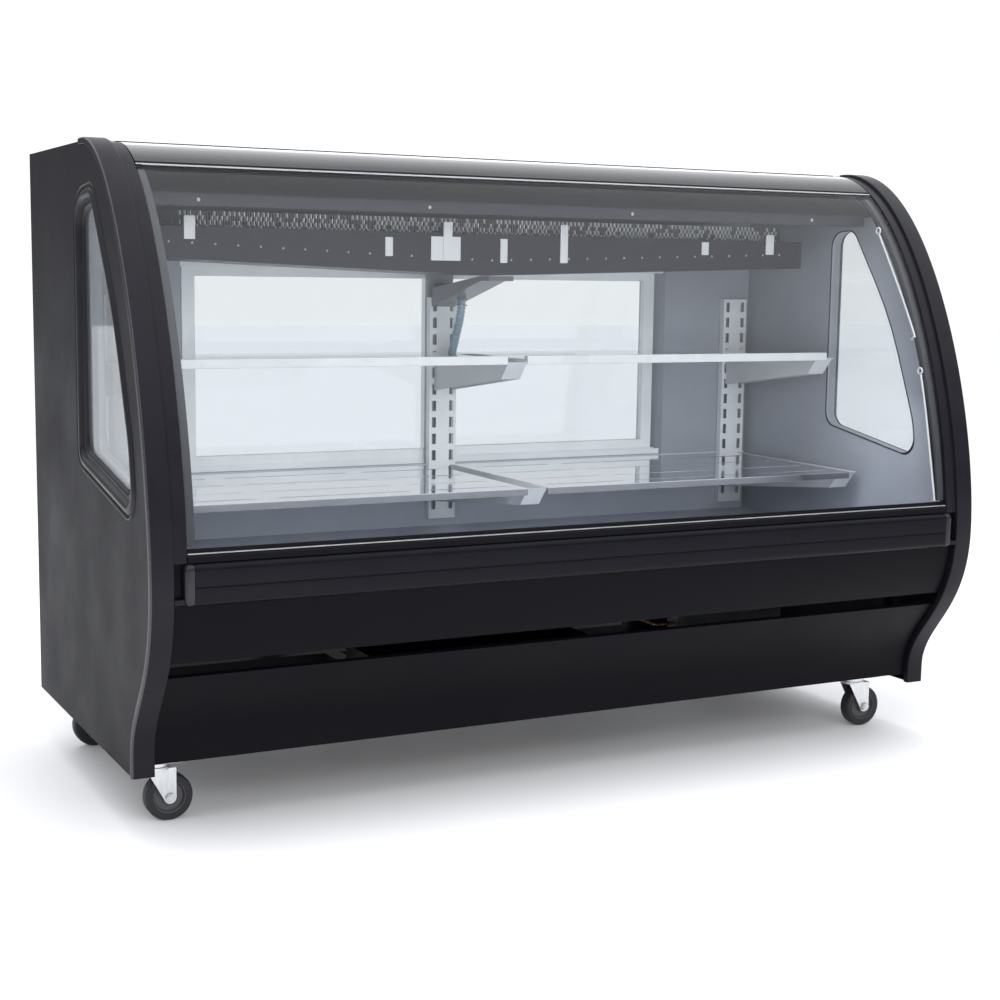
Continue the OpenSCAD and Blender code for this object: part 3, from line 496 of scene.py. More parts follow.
def glass(name, tint, haze=0.0, mirror=1.0):
    """Clear pane: what is behind shows straight through, and both faces mirror more at a slant."""
    material = bpy.data.materials.new(name)
    material.use_nodes = True
    nodes, links = material.node_tree.nodes, material.node_tree.links
    nodes.clear()
    out = nodes.new("ShaderNodeOutputMaterial")
    clear = nodes.new("ShaderNodeBsdfTransparent")
    clear.inputs["Color"].default_value = (*tint, 1)
    gloss = nodes.new("ShaderNodeBsdfGlossy")
    gloss.inputs["Color"].default_value = (mirror, mirror, mirror, 1)
    place = nodes.new("ShaderNodeTexCoord")
    film = nodes.new("ShaderNodeTexNoise")
    film.inputs["Scale"].default_value = 3.0
    film.inputs["Detail"].default_value = 5.0
    links.new(place.outputs["Object"], film.inputs["Vector"])
    blur = spread(nodes, links, film.outputs["Fac"], (0, 1), (0.02, 0.05))
    links.new(blur.outputs["Result"], gloss.inputs["Roughness"])
    facing = nodes.new("ShaderNodeLayerWeight")
    facing.inputs["Blend"].default_value = 0.5
    steep = compute(nodes, links, "POWER", facing.outputs["Facing"], 5.0)
    share = spread(nodes, links, steep, (0, 1), (0.04, 1))
    mix = nodes.new("ShaderNodeMixShader")
    links.new(share.outputs["Result"], mix.inputs["Fac"])
    links.new(clear.outputs["BSDF"], mix.inputs[1])
    links.new(gloss.outputs["BSDF"], mix.inputs[2])
    last = mix
    if haze:
        veil = nodes.new("ShaderNodeBsdfDiffuse")
        veil.inputs["Color"].default_value = (0.8, 0.83, 0.86, 1)
        last = nodes.new("ShaderNodeMixShader")
        amount = spread(nodes, links, film.outputs["Fac"], (0, 1), (haze * 0.8, haze * 1.2))
        links.new(amount.outputs["Result"], last.inputs["Fac"])
        links.new(mix.outputs["Shader"], last.inputs[1])
        links.new(veil.outputs["BSDF"], last.inputs[2])
    links.new(last.outputs["Shader"], out.inputs["Surface"])
    return material


looks = {
    # End panel paint: its mirror weakens toward the bottom, painted shade on the floor's reflection.
    "end_paint": paint("charcoal_end_paint", (0.0105, 0.0102, 0.0130), 0.5, ior=1.22, drift=0.02,
                       gloss=((0.15, 0.30), (1.0, 0.50))),
    # Trim plastic: its mirror weakens toward the bottom, painted shade on the floor's reflection.
    "trim": plastic("black_trim_plastic", (0.007, 0.0067, 0.010), 0.3, grain=700, ior=1.3,
                    gloss=((0.15, 0.32), (1.3, 0.60))),
    # Lighter copy of the trim plastic: a painted highlight on the crest of the nose's outer corner.
    "trim_edge": plastic("trim_painted_highlight_edge", (0.030, 0.030, 0.036), 0.25, grain=700),
    "bumper": plastic("black_bumper_plastic", (0.0034, 0.0034, 0.0060), 0.25, grain=700, ior=1.22),
    "bumper_cap": plastic("black_cap_plastic", (0.009, 0.009, 0.013), 0.16, coat=0.2, grain=700, ior=1.35),
    "front_paint": paint("black_front_paint", (0.0022, 0.0020, 0.0036), 0.36, ior=1.17),
    "frame_paint": paint("black_frame_paint", (0.006, 0.006, 0.007), 0.55, ior=1.3),
    "liner": paint("grey_liner_paint", (0.33, 0.35, 0.40), 0.42),
    # Same grey as the liner, made lighter: painted light on the tub, which sits in shade under the deck.
    "tub": paint("grey_tub_paint_painted_light", (0.52, 0.55, 0.61), 0.4),
    "roof": paint("white_roof_paint", (0.62, 0.63, 0.65), 0.35),
    "canopy": paint("dark_canopy_paint", (0.0165, 0.0165, 0.0225), 0.5, ior=1.3, peel=0),
    "lamp": paint("lamp_channel_paint", (0.034, 0.036, 0.046), 0.45, ior=1.35, peel=0),
    "pan": paint("dark_pan_paint", (0.023, 0.0245, 0.033), 0.5, ior=1.35, peel=0),
    "white_paint": paint("white_hardware_paint", (0.62, 0.64, 0.65), 0.35),
    "trough_paint": paint("grey_trough_paint", (0.165, 0.17, 0.20), 0.4),
    "reveal": paint("window_reveal_paint", (0.30, 0.32, 0.36), 0.45),
    "seal": paint("grey_side_seal", (0.035, 0.037, 0.044), 0.5, peel=0),
    "gasket": plastic("gasket_rubber", (0.009, 0.009, 0.012), 0.35, grain=500, ior=1.35),
    "rubber": plastic("tyre_rubber", (0.012, 0.012, 0.014), 0.55, grain=1200),
    "sill": plastic("sill_rubber", (0.0035, 0.0035, 0.005), 0.5, grain=600, ior=1.2),
    "black_plastic": plastic("black_plastic", (0.015, 0.015, 0.018), 0.4),
    "grey_plastic": plastic("grey_plastic", (0.06, 0.06, 0.066), 0.45),
    "red_plastic": plastic("red_switch_plastic", (0.45, 0.02, 0.015), 0.25, coat=0.3),
    "hose": plastic("hose_plastic", (0.25, 0.34, 0.42), 0.35, grain=300),
    "foam": plastic("yellow_foam", (0.70, 0.58, 0.33), 0.85, grain=250),
    "steel": deck_steel(),
    "shelf_metal": paint("upright_galvanised", (0.80, 0.83, 0.85), 0.34),
    "bracket_metal": paint("bracket_grey_coat", (0.58, 0.60, 0.62), 0.34),
    "strip_metal": paint("strip_light_coat", (0.60, 0.62, 0.63), 0.28),
    # Near-white paint on the door tracks: painted light where the lower track sits in shade.
    "track_metal": paint("track_profile_painted_light", (0.88, 0.90, 0.92), 0.3),
    "door_metal": paint("white_door_profile", (0.90, 0.93, 0.95), 0.3),
    # Bright metal of the clamp and hinge, with a painted highlight and painted shade across it.
    "chrome": hinge_metal(),
    "bright": brushed("bright_bead", (0.70, 0.71, 0.73), 0.25),
    "zinc": brushed("castor_zinc", (0.68, 0.69, 0.70), 0.3, (40, 40, 3)),
    # Bright and dark copies of one fin colour: painted glints and painted shade on the fin ripples.
    "fin": paint("fin_aluminium", (0.86, 0.88, 0.90), 0.3),
    "fin_painted_shade": paint("fin_aluminium_painted_shade", (0.14, 0.145, 0.155), 0.4),
    "condenser": brushed("condenser_aluminium", (0.30, 0.31, 0.32), 0.4, (40, 40, 4)),
    "copper": brushed("copper_tube", (0.72, 0.36, 0.20), 0.3, (30, 30, 30)),
    "front_glass": glass("front_glass_clear", (0.975, 0.98, 0.985), mirror=0.6),
    "pane": glass("pane_glass_clear", (0.968, 0.978, 0.982), mirror=0.7),
    "end_pane": glass("end_pane_glass", (0.968, 0.978, 0.982), haze=0.05, mirror=0.7),
    "shelf_glass": glass("shelf_glass_clear", (0.86, 0.92, 0.91)),
}

# ---- carried-over CAD nodes and their materials ----

NODE_FINISH = {
    "end_paint": ["left_end_skin", "right_end_skin", "service_grille"],
    "frame_paint": ["base_frame", "tub_shell", "drain_tray"],
    "liner": ["end_liners", "rear_frame"],
    "tub": ["tub_liner"],
    "foam": ["foam_insulation"],
    "steel": ["deck_panels"],
    "roof": ["roof_panel"],
    "lamp": ["lamp_housing"],
    "pan": ["drip_pan"],
    "white_paint": ["coil_hangers"],
    "zinc": ["castor_plates", "fasteners"],
    "end_pane": ["window_panes"],
    "pane": ["door_left_panes", "door_right_panes"],
    "shelf_glass": ["shelf_panes"],
    "shelf_metal": ["shelf_uprights"],
    "bracket_metal": ["shelf_brackets"],
    "trough_paint": ["drain_trough"],
    "strip_metal": ["shelf_strips"],
    "track_metal": ["door_tracks"],
    "door_metal": ["door_left_frame", "door_right_frame"],
    "copper": ["coil_tubes", "refrigerant_lines"],
    "condenser": ["condenser"],
    "black_plastic": ["thermostat_knob", "fan_motor", "compressor"],
    "grey_plastic": ["control_box", "fan_blade"],
    "red_plastic": ["light_switch"],
}


def dress(name, material):
    """Give a carried-over CAD node its one material."""
    node = frame["nodes"][name]
    node.data.materials.clear()
    node.data.materials.append(material)


for finish, names in NODE_FINISH.items():
    for name in names:
        dress(name, looks[finish])


# ---- end trims: rounded nose, recessed second band, ledge behind the glass ----

def nose_profile(side):
    """(x, depth) section of the outer band, wrapped over the end panel's edge."""
    outer = 0.0045
    inner = 0.003
    back = 0.014
    corners = [(nose_in, back, 0), (nose_in, 0.0, inner), (half_w, 0.0, outer), (half_w, back, 0.0012),
               (skin_out, back, 0)]
    return [(side * x, d) for x, d in rounded(corners)]


def sweep_outline(shape, profile, stations, slot=0):
    """Run an (x, depth) section along the side outline."""
    rings = [[(x, y + d * ny, z + d * nz) for x, d in profile] for y, z, ny, nz in stations]
    shape.rings(rings, slot=slot)


def painted_highlight_sides(profile):
    """Slot 1 for the sides on the crest of the nose's outer corner, where a lighter colour paints the
    highlight line along the corner.
    """
    reach = 0.0028
    slots = []
    for i, (x, depth) in enumerate(profile):
        ahead_x, ahead_depth = profile[(i + 1) % len(profile)]
        crest = abs(abs(x + ahead_x) / 2 - half_w) < reach and (depth + ahead_depth) / 2 < reach
        slots.append(1 if crest else 0)
    return slots


def trim(side, name):
    """Nose, recessed band and ledge of one end, swept along the side outline."""
    shape = Shape()
    nose = nose_profile(side)
    sweep_outline(shape, nose, outline(body_bottom + 0.001), painted_highlight_sides(nose))
    band_face = 0.007
    band = rounded([(channel_in, BAND_BACK, 0), (channel_in, band_face, 0.002),
                    (nose_in + 0.001, band_face, 0), (nose_in + 0.001, BAND_BACK, 0)])
    sweep_outline(shape, [(side * x, d) for x, d in band], outline(sill_low, 0.0035))
    ledge = [(ledge_in, BAND_BACK), (ledge_in, LEDGE), (channel_in + 0.0005, LEDGE),
             (channel_in + 0.0005, BAND_BACK)]
    sweep_outline(shape, [(side * x, d) for x, d in ledge], outline(sill_low + 0.03, -0.02))
    shape.piece(name + "_moulding", [looks["trim"], looks["trim_edge"]], replaces=[name])


trim(-1, "left_trim")
trim(1, "right_trim")


# ---- end window gaskets ----

SIGHT_IN = 0.050               # distance from the window outline to the clear opening
SIGHT_R = 0.040                # least corner radius of the clear opening


def window_line(inward):
    """The window outline moved inwards; its corners stay rounder toward the clear opening."""
    least = 0.008 + (SIGHT_R - 0.008) * min(1, max(0, (inward - 0.030) / (SIGHT_IN - 0.030)))
    corners = []
    for i, (y, z, radius) in enumerate(WINDOW):
        here = Vector((y, z))
        back = (here - Vector(WINDOW[i - 1][:2])).normalized()
        ahead = (Vector(WINDOW[(i + 1) % len(WINDOW)][:2]) - here).normalized()
        square = [Vector((d.y, -d.x)) for d in (back, ahead)]
        moved = here + inward * (square[0] + square[1]) / (1 + square[0].dot(square[1]))
        corners.append((moved.x, moved.y, max(least, radius - inward)))
    return rounded(corners, 6.0)


def window_ring(shape, side, profile, slot=0):
    """Run an (inward, x) section round the window."""
    lines = [window_line(inward) for inward, x in profile]
    rings = [[(side * x, y, z) for (y, z), (inward, x) in zip(place, profile)] for place in zip(*lines)]
    shape.rings(rings, loop=True, slot=slot)


def gasket(side, name):
    """Outer moulding with its round bead, the bead on the liner, and the grey reveal between them."""
    face = half_w
    bead_r = 0.006
    back = face - 0.0157
    pane = face - 0.0225
    outer = [(0.0, skin_out), (0.001, face - 0.0022), (0.003, face - 0.0016), (0.0045, face - 0.003)]
    outer += [(0.0055, skin_out - 0.003), (0.0095, skin_out - 0.003), (0.0105, face - 0.004)]
    for angle in range(20, 161, 14):
        swing = math.radians(angle)
        outer.append((0.0205 - 0.0095 * math.cos(swing), face - bead_r + bead_r * math.sin(swing)))
    outer += [(0.031, face - bead_r), (0.0318, face - 0.009), (0.0335, face - 0.011), (0.036, face - 0.0095)]
    outer += [(0.044, face - 0.0095), (0.046, face - 0.012), (SIGHT_IN, back)]
    outer += [(0.016, back), (0.0065, back), (0.0065, skin_out - 0.0014), (0.0, skin_out - 0.0002)]
    inner = [(SIGHT_IN - 0.0015, liner_in + 0.0002), (SIGHT_IN - 0.001, liner_in - 0.0012),
             (SIGHT_IN, liner_in - 0.0016), (SIGHT_IN + 0.0015, liner_in - 0.0012),
             (SIGHT_IN + 0.002, liner_in + 0.0002)]
    reveal = [(0.0162, liner_in + 0.0014), (0.0162, pane), (SIGHT_IN, pane), (SIGHT_IN, liner_in + 0.0014)]
    shape = Shape()
    window_ring(shape, side, outer)
    window_ring(shape, side, inner)
    window_ring(shape, side, reveal, slot=1)
    shape.piece(name, [looks["gasket"], looks["reveal"]], replaces=["window_gaskets"],
                sharp=50)


gasket(-1, "left_window_gasket")
gasket(1, "right_window_gasket")


# ---- curved front glass, its clamp and the fixed hinge ----

def front_glass():
    """The curved pane, and the ground edge along its bottom."""
    stations = outline(glass_low, HINGE[0] - 0.012)
    shape = Shape()
    shape.extrude(layer(stations, GLASS_OUTER, GLASS_INNER), -glass_half, glass_half)
    shape.piece("front_glass_sheet", looks["front_glass"], "front_glass", ["front_glass"])
    edge = outline_between(glass_low + 0.0002, glass_low + 0.0024)
    ground = Shape()
    ground.extrude(layer(edge, GLASS_OUTER - 0.0008, GLASS_OUTER - 0.0001), -glass_half, glass_half)
    ground.piece("front_glass_ground_edge", looks["bright"], "front_glass")


front_glass()


def clamp():
    """Bright jaw over the upper edge of the glass, its light crown a painted highlight, black jaw under it,
    and the hinge socket.
    """
    start = 1.340
    stations = outline(start, HINGE[0] - 0.005)
    grip = outline(start, HINGE[0] - 0.006)
    shape = Shape()
    shape.extrude(layer(stations, CLAMP_OUTER, GLASS_OUTER), -glass_half, glass_half)
    shape.extrude(layer(grip, GLASS_INNER + 0.0003, CLAMP_INNER), -glass_half, glass_half, slot=1)
    top = inset(stations, CLAMP_OUTER)[-1]
    low = inset(stations, CLAMP_INNER)[-1]
    bridge = top[0] - 0.0069
    shape.extrude([(bridge, top[1]), top, low, (bridge, low[1])], -glass_half, glass_half)
    ring = arc(HINGE, 0.006, 86, 334, 22) + arc(HINGE, 0.0036, 334, 86, 22)
    shape.extrude(ring, -glass_half, glass_half)
    dark_low = start - 0.0038
    dark = outline_between(dark_low, start + 0.0005)
    shape.extrude(layer(dark, CLAMP_OUTER + 0.0001, GLASS_OUTER), -glass_half, glass_half, slot=1)
    edge = outline_between(start - 0.006, dark_low)
    shape.extrude(layer(edge, CLAMP_OUTER + 0.0005, GLASS_OUTER), -glass_half, glass_half, slot=2)
    shape.piece("glass_clamp_profile", [looks["chrome"], looks["sill"], looks["bright"]], "front_glass",
                ["glass_clamp"])


clamp()


def hinge():
    """Fixed bar along the roof's front, with a neck and the round bulb that the clamp turns on."""
    front, back = -0.0035, 0.0042
    low, high = HINGE[1] - 0.022, HINGE[1] + 0.006
    neck = 0.0012
    shape = Shape()
    bar = rounded([(front, low, 0.001), (back, low, 0.0005), (back, high, 0.0005), (front, high, 0.002)])
    shape.extrude(bar, -glass_half, glass_half)
    shape.extrude([(HINGE[0], HINGE[1] - neck), (front + 0.0005, HINGE[1] - neck),
                   (front + 0.0005, HINGE[1] + neck), (HINGE[0], HINGE[1] + neck)], -glass_half, glass_half)
    shape.extrude(arc(HINGE, 0.0035, 0, 345, 23), -glass_half, glass_half)
    shape.piece("hinge_profile_bar", looks["chrome"], replaces=["hinge_profile"])


hinge()


def roof_edge():
    """Black strip in the gap between hinge and roof, painted shade for the gap's shadow, and the rolled bead
    along the roof's front edge.
    """
    front, back = -0.0035, 0.0043
    low, high = HINGE[1] + 0.0061, HINGE[1] + 0.0112
    section = rounded([(front, low, 0.001), (back, low, 0.0005), (back, high, 0.001), (front, high, 0.0015)])
    # Painted shade: a black strip fills the gap between hinge and roof.
    seal = Shape()
    seal.extrude(section, -glass_half, glass_half)
    seal.piece("roof_front_gap_shade", looks["sill"])
    front, back = 0.0045, 0.0125
    low, high = HINGE[1] + 0.0081, HINGE[1] + 0.0146
    section = rounded([(front, low, 0.0005), (back, low, 0.0005), (back, high, 0.0028),
                       (front, high, 0.0028)])
    bead = Shape()
    bead.extrude(section, -nose_in + 0.0005, nose_in - 0.0005)
    bead.piece("roof_front_bead", looks["roof"])


roof_edge()


def rear_seals():
    """Rubber strips over the joints between the rear wall and the two ends, run on into the end foam."""
    lo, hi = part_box("rear_frame")
    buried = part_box("right_end_skin")[0].x + 0.030
    near, far = hi.y + 0.0002, hi.y + 0.0032
    section = rounded([(near, lo.z, 0.0005), (near, hi.z, 0.0005), (far, hi.z, 0.0012), (far, lo.z, 0.0012)])
    shape = Shape()
    for side in (-1, 1):
        edges = sorted((side * (hi.x - 0.006), side * buried))
        shape.extrude(section, *edges)
    shape.piece("rear_corner_seals", looks["sill"])


rear_seals()


def canopy():
    """Curved sheet behind the glass, its lower lip, and the strip that closes its top to the roof."""
    well_below = 1.20
    lip_back = -0.092
    stations = outline(well_below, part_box("canopy")[1].y)
    stations = [s for s in stations if s[1] + (CANOPY + SHEET) * s[3] >= canopy_low]
    shape = Shape()
    shape.extrude(layer(stations, CANOPY, CANOPY + SHEET), -canopy_half, canopy_half)
    curve = inset(stations, CANOPY)
    lip = curve[0][0]
    shape.extrude([(lip, canopy_low), (lip_back, canopy_low), (lip_back, canopy_low + SHEET),
                   (lip, canopy_low + SHEET)], -canopy_half, canopy_half)
    roof_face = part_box("roof_panel")[0].y
    top = curve[-1][1]
    shape.block((-canopy_half, roof_face, top), (canopy_half, roof_face + SHEET, top + 0.030))
    shape.piece("canopy_sheet", looks["canopy"], replaces=["canopy"])


canopy()


# ---- sill, front panels and bumper ----

def sill():
    """Rubber-faced ledge under the glass, and the side seals that the glass closes on."""
    face = belly_y + 0.006
    stop = face + 0.018
    back = face + 0.025
    top = glass_low - 0.0003
    section = rounded([(face, sill_low, 0.001), (face + 0.001, glass_low - 0.005, 0.002),
                       (face + 0.007, top, 0.001), (stop, top, 0), (stop, glass_low + 0.008, 0.0015),
                       (back - 0.001, glass_low + 0.008, 0.0015), (back, glass_low - 0.002, 0),
                       (back, 0.588, 0), (stop - 0.0005, sill_low, 0)])
    shape = Shape()
    shape.extrude(section, -channel_in + 0.0003, channel_in - 0.0003)
    seal = outline_between(glass_low + 0.014, 1.330)
    near, far = ledge_in + 0.002, channel_in - 0.002
    lip = [(near, GLASS_INNER + 0.0003), (far, GLASS_INNER + 0.0003), (far, LEDGE), (near, LEDGE)]
    for side in (-1, 1):
        sweep_outline(shape, [(side * x, d) for x, d in lip], seal, 1)
    shape.piece("glass_sill_rubber", [looks["sill"], looks["seal"]], replaces=["glass_sill"])


sill()


def front_panel(name, low, high):
    """Curved sheet with both long edges folded back."""
    depth, fold = 0.014, 0.009
    x = nose_in - 0.0005
    line = outline_between(low, high)
    outer = inset(line, depth)
    back = inset(line, depth + SHEET)
    low_in = inset(line[:1], depth + fold)[0]
    high_in = inset(line[-1:], depth + fold)[0]
    section = [low_in] + outer + [high_in]
    lip = (high_in[0], high_in[1] - SHEET)
    toe = (low_in[0], low_in[1] + SHEET)
    section += [lip] + back[::-1][1:-1] + [toe]
    shape = Shape()
    shape.extrude(section, -x, x, cuts=8)
    shape.piece(name + "_sheet", looks["front_paint"], replaces=[name],
                bevel=0.0008)


for name in ("upper_front_panel", "lower_front_panel"):
    lo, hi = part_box(name)
    front_panel(name, lo.z, hi.z)


def bumper_section(pull):
    """Rounded bar in side view; pull draws its free edges in."""
    return rounded([(bumper_back, bumper_low + pull, 0.001), (front_y + pull, bumper_low + pull, 0.012),
                    (front_y + pull, bumper_high - pull, 0.012), (bumper_back, bumper_high - pull, 0.001)], 8)


def bumper():
    """Bar with a groove along its face, and the two end caps with their rounded ends."""
    groove_z = 0.528
    floor_y = front_y + 0.0018
    section = [(bumper_back, bumper_low, 0.001), (front_y, bumper_low, 0.013),
               (front_y, groove_z - 0.0015, 0.0006), (floor_y, groove_z - 0.0008, 0.0004),
               (floor_y, groove_z + 0.0008, 0.0004), (front_y, groove_z + 0.0015, 0.0006),
               (front_y, bumper_high, 0.013), (bumper_back, bumper_high, 0.001)]
    shape = Shape()
    shape.extrude(rounded(section, 8), -bumper_half, bumper_half)
    shape.piece("bumper_rail_bar", looks["bumper"], replaces=["bumper_rail"])
    radius = 0.010
    length = cap_half - bumper_half
    steps = [(0.0006, 0.0003), (0.0, 0.0009)]
    for angle in range(0, 91, 15):
        swing = math.radians(angle)
        steps.append((radius * (1 - math.cos(swing)), length - radius * (1 - math.sin(swing))))
    for side, name in ((-1, "left_bumper_cap"), (1, "right_bumper_cap")):
        cap = Shape()
        cap.rings([[(side * (bumper_half + along), y, z) for y, z in bumper_section(pull)]
                   for pull, along in steps])
        cap.piece(name, looks["bumper_cap"], replaces=["bumper_caps"], sharp=60)


bumper()


def bumper_brackets():
    """Black stubs that carry the ends of the bumper from the trims."""
    for side, name in ((-1, "left_bumper_bracket"), (1, "right_bumper_bracket")):
        lo, hi = sorted((side * (cap_half - 0.006), side * nose_in))
        shape = Shape()
        shape.block((lo, belly_y + 0.0015, bumper_low + 0.004), (hi, belly_y + 0.0145, bumper_low + 0.014))
        shape.piece(name, looks["frame_paint"], bevel=0.001)


bumper_brackets()


# ---- evaporator, drip pan details, hose ----

def fins():
    """The finned block, a rippled fin every 5.5 mm whose ripples are painted bright as glints and dark as
    shade, and two end plates.
    """
    lo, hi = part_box("coil_fins")
    pitch = 0.0055
    half = 0.0010
    ripple = 0.0006
    ripples = 9
    step = (hi.z - lo.z) / ripples
    shape = Shape()
    for i in range(int((hi.x - lo.x) / pitch) + 1):
        x = lo.x + i * pitch + 0.0008 * math.sin(i * 1.7)
        for k in range(ripples):
            low = lo.z + k * step
            high = low + step - 0.0003
            lean = ripple if k % 2 else -ripple
            front = [(x - half - lean, lo.y, low), (x + half - lean, lo.y, low),
                     (x + half + lean, lo.y, high), (x - half + lean, lo.y, high)]
            back = [(p[0], hi.y, p[2]) for p in front]
            # Painted light: a scattered chequer of ripples takes the bright copy of the fin colour, the rest
            # the dark copy.
            lit = (i + k) % 2 == 0 and math.sin(i * i + 2.3 * k) > -0.75
            shape.rings([front, back], slot=1 if lit else 0)
    for x in (lo.x - 0.006, hi.x + 0.004):
        shape.block((x, lo.y - 0.006, lo.z - 0.006), (x + 0.002, hi.y + 0.004, hi.z))
    shape.piece("coil_fin_pack", [looks["fin_painted_shade"], looks["fin"]], replaces=["coil_fins"])


fins()


def dome(shape, centre, radius, height):
    """A shallow rivet or screw head standing on a face that looks forward."""
    steps = 5
    profile = [(radius * math.cos(math.pi / 2 * i / steps), height * math.sin(math.pi / 2 * i / steps))
               for i in range(steps)]
    profile += [(0.0001, height), (0.0001, -0.0006), (radius, -0.0006)]
    shape.lathe(profile, centre, (0, -1, 0), 16)


PAN_LOW = (-0.060, 1.116)      # lowest point of the pan's V, as (x, z)
PAN_END_Z = 1.145


def rivets():
    """A row of rivets that follows the V of the pan's front wall."""
    lo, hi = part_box("drip_pan")
    shape = Shape()
    pitch = 0.051
    count = int((hi.x - lo.x - 0.04) / pitch)
    for i in range(count + 1):
        x = lo.x + 0.02 + i * pitch
        reach = (lo.x if x < PAN_LOW[0] else hi.x) - PAN_LOW[0]
        edge = PAN_LOW[1] + (PAN_END_Z - PAN_LOW[1]) * (x - PAN_LOW[0]) / reach
        dome(shape, (x, lo.y, edge + 0.035), 0.0026, 0.0014)
    shape.piece("drip_pan_rivets", looks["zinc"])


rivets()


def lamp_screws():
    """Screws through the lamp channel's front face."""
    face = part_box("lamp_housing")[0].y
    shape = Shape()
    for x in (-0.789, -0.269, 0.249, 0.766):
        dome(shape, (x, face, 1.2625), 0.0042, 0.0022)
    shape.piece("lamp_channel_screws", looks["zinc"])


lamp_screws()


def hose():
    """Ribbed drain hose along the CAD route, with the ring that clamps it to the trough."""
    route = [(0, 0.262, 1.056), (0, 0.262, 1.042), (0, 0.266, 1.021), (0, 0.274, 1.000), (0, 0.284, 0.980),
             (0, 0.294, 0.960), (0, 0.304, 0.940), (0, 0.315, 0.920), (0, 0.327, 0.900), (0, 0.338, 0.884),
             (0, 0.350, 0.874), (0, 0.360, 0.872), (0, 0.3638, 0.872)]
    points = curve_points(route, 12)
    radii = [0.0098 + 0.0012 * math.sin(i * math.pi / 2.5) for i in range(len(points))]
    shape = Shape()
    shape.tube(points, radii, 20)
    ring = [Vector((0.0128 * math.cos(a), 0.262 + 0.0128 * math.sin(a), 1.042)) for a in turns(28)]
    shape.tube(ring, 0.0022, 10, slot=1, loop=True)
    shape.piece("drain_hose_ribbed", [looks["hose"], looks["zinc"]], replaces=["drain_hose"],
                sharp=60)


hose()


# ---- stay rods hung on the right-hand end wall ----

def stays():
    """Two bent wire rods hung beside the ledge, each with an eye at its top and a hook into the wall."""
    x = ledge_in - 0.004
    wire, eye_r = 0.0025, 0.0075
    routes = [[(-0.221, 1.229), (-0.283, 1.131), (-0.326, 1.060), (-0.364, 0.992)],
              [(-0.395, 0.896), (-0.417, 0.812), (-0.441, 0.704), (-0.4605, 0.610)]]
    shape = Shape()
    for route in routes:
        y, z = route[-1]
        hook = [(x, y + 0.001, z - 0.007), (x + 0.002, y + 0.010, z - 0.013),
                (x + 0.010, y + 0.014, z - 0.014), (canopy_half, y + 0.014, z - 0.014)]
        shape.tube(curve_points([(x, py, pz) for py, pz in route] + hook, 8), wire, 12)
        eye = (route[0][0] + 0.004, route[0][1] + 0.009)
        ring = [Vector((x, eye[0] + eye_r * math.cos(a), eye[1] + eye_r * math.sin(a))) for a in turns(28)]
        shape.tube(ring, wire - 0.0003, 10, loop=True)
    shape.piece("glass_stay_rods_wire", looks["white_paint"], replaces=["glass_stay_rods"])


stays()


# ---- castors ----

def castor(row, side):
    """Tyre and dished hub of one wheel, and the zinc on its fork."""
    wheel_node = f"castor_wheel_{row}_{side}"
    lo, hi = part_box(wheel_node)
    centre = (lo + hi) / 2
    radius = (hi.z - lo.z) / 2
    half = 0.016
    bore = 0.034
    boss = 0.0168
    tyre = rounded([(bore, -half, 0.001), (radius, -half, 0.007), (radius, half, 0.007), (bore, half, 0.001)],
                   12)
    near = [(0.0061, boss, 0), (0.013, boss, 0.0015), (0.0145, 0.006, 0.002), (0.030, 0.006, 0.002),
            (0.0325, half - 0.001, 0.001), (0.0345, half - 0.001, 0)]
    hub = rounded([(r, -h, corner) for r, h, corner in near] + near[::-1], 15)
    shape = Shape()
    shape.lathe(tyre, centre, (0, 1, 0), 72, 0)
    shape.lathe(hub, centre, (0, 1, 0), 48, 1)
    shape.piece(f"castor_tyre_{row}_{side}", [looks["rubber"], looks["grey_plastic"]], f"wheel_{row}_{side}",
                [wheel_node], sharp=40)
    dress(f"castor_fork_{row}_{side}", looks["zinc"])


for row in ("front", "rear"):
    for side in ("left", "right"):
        castor(row, side)


# ---- camera, floor and light ----

def camera():
    """Low three-quarter view from the customer's left."""
    place = Vector((-1.8437, -3.5211, 1.1192))
    yaw, pitch, roll = 0.4778, 0.1326, 0.0140
    ahead = Vector((math.sin(yaw) * math.cos(pitch), math.cos(yaw) * math.cos(pitch), -math.sin(pitch)))
    level = Vector((math.cos(yaw), -math.sin(yaw), 0))
    up = level.cross(ahead)
    right = level * math.cos(roll) + up * math.sin(roll)
    top = up * math.cos(roll) - level * math.sin(roll)
    data = bpy.data.cameras.new("camera")
    data.sensor_width = 36
    data.lens = 60.85
    data.clip_end = 100
    obj = bpy.data.objects.new("camera", data)
    obj.matrix_world = Matrix((
        (right.x, top.x, -ahead.x, place.x), (right.y, top.y, -ahead.y, place.y),
        (right.z, top.z, -ahead.z, place.z), (0, 0, 0, 1)))
    bpy.context.scene.collection.objects.link(obj)
    bpy.context.scene.camera = obj


camera()


def floor():
    """A wide pale plane under the case."""
    made = Finish("pale_floor", (0.86, 0.86, 0.87), 0.6)
    made.mottle((0.85, 0.85, 0.86), (0.87, 0.87, 0.88), 2)
    made.bump(60, 0.0004, 0.1)
    size = 30
    corners = [(-size, -size, 0), (size, -size, 0), (size, size, 0), (-size, size, 0)]
    mesh = bpy.data.meshes.new("floor")
    mesh.from_pydata(corners, [], [(0, 1, 2, 3)])
    mesh.materials.append(made.material)
    obj = bpy.data.objects.new("floor", mesh)
    bpy.context.scene.collection.objects.link(obj)


floor()


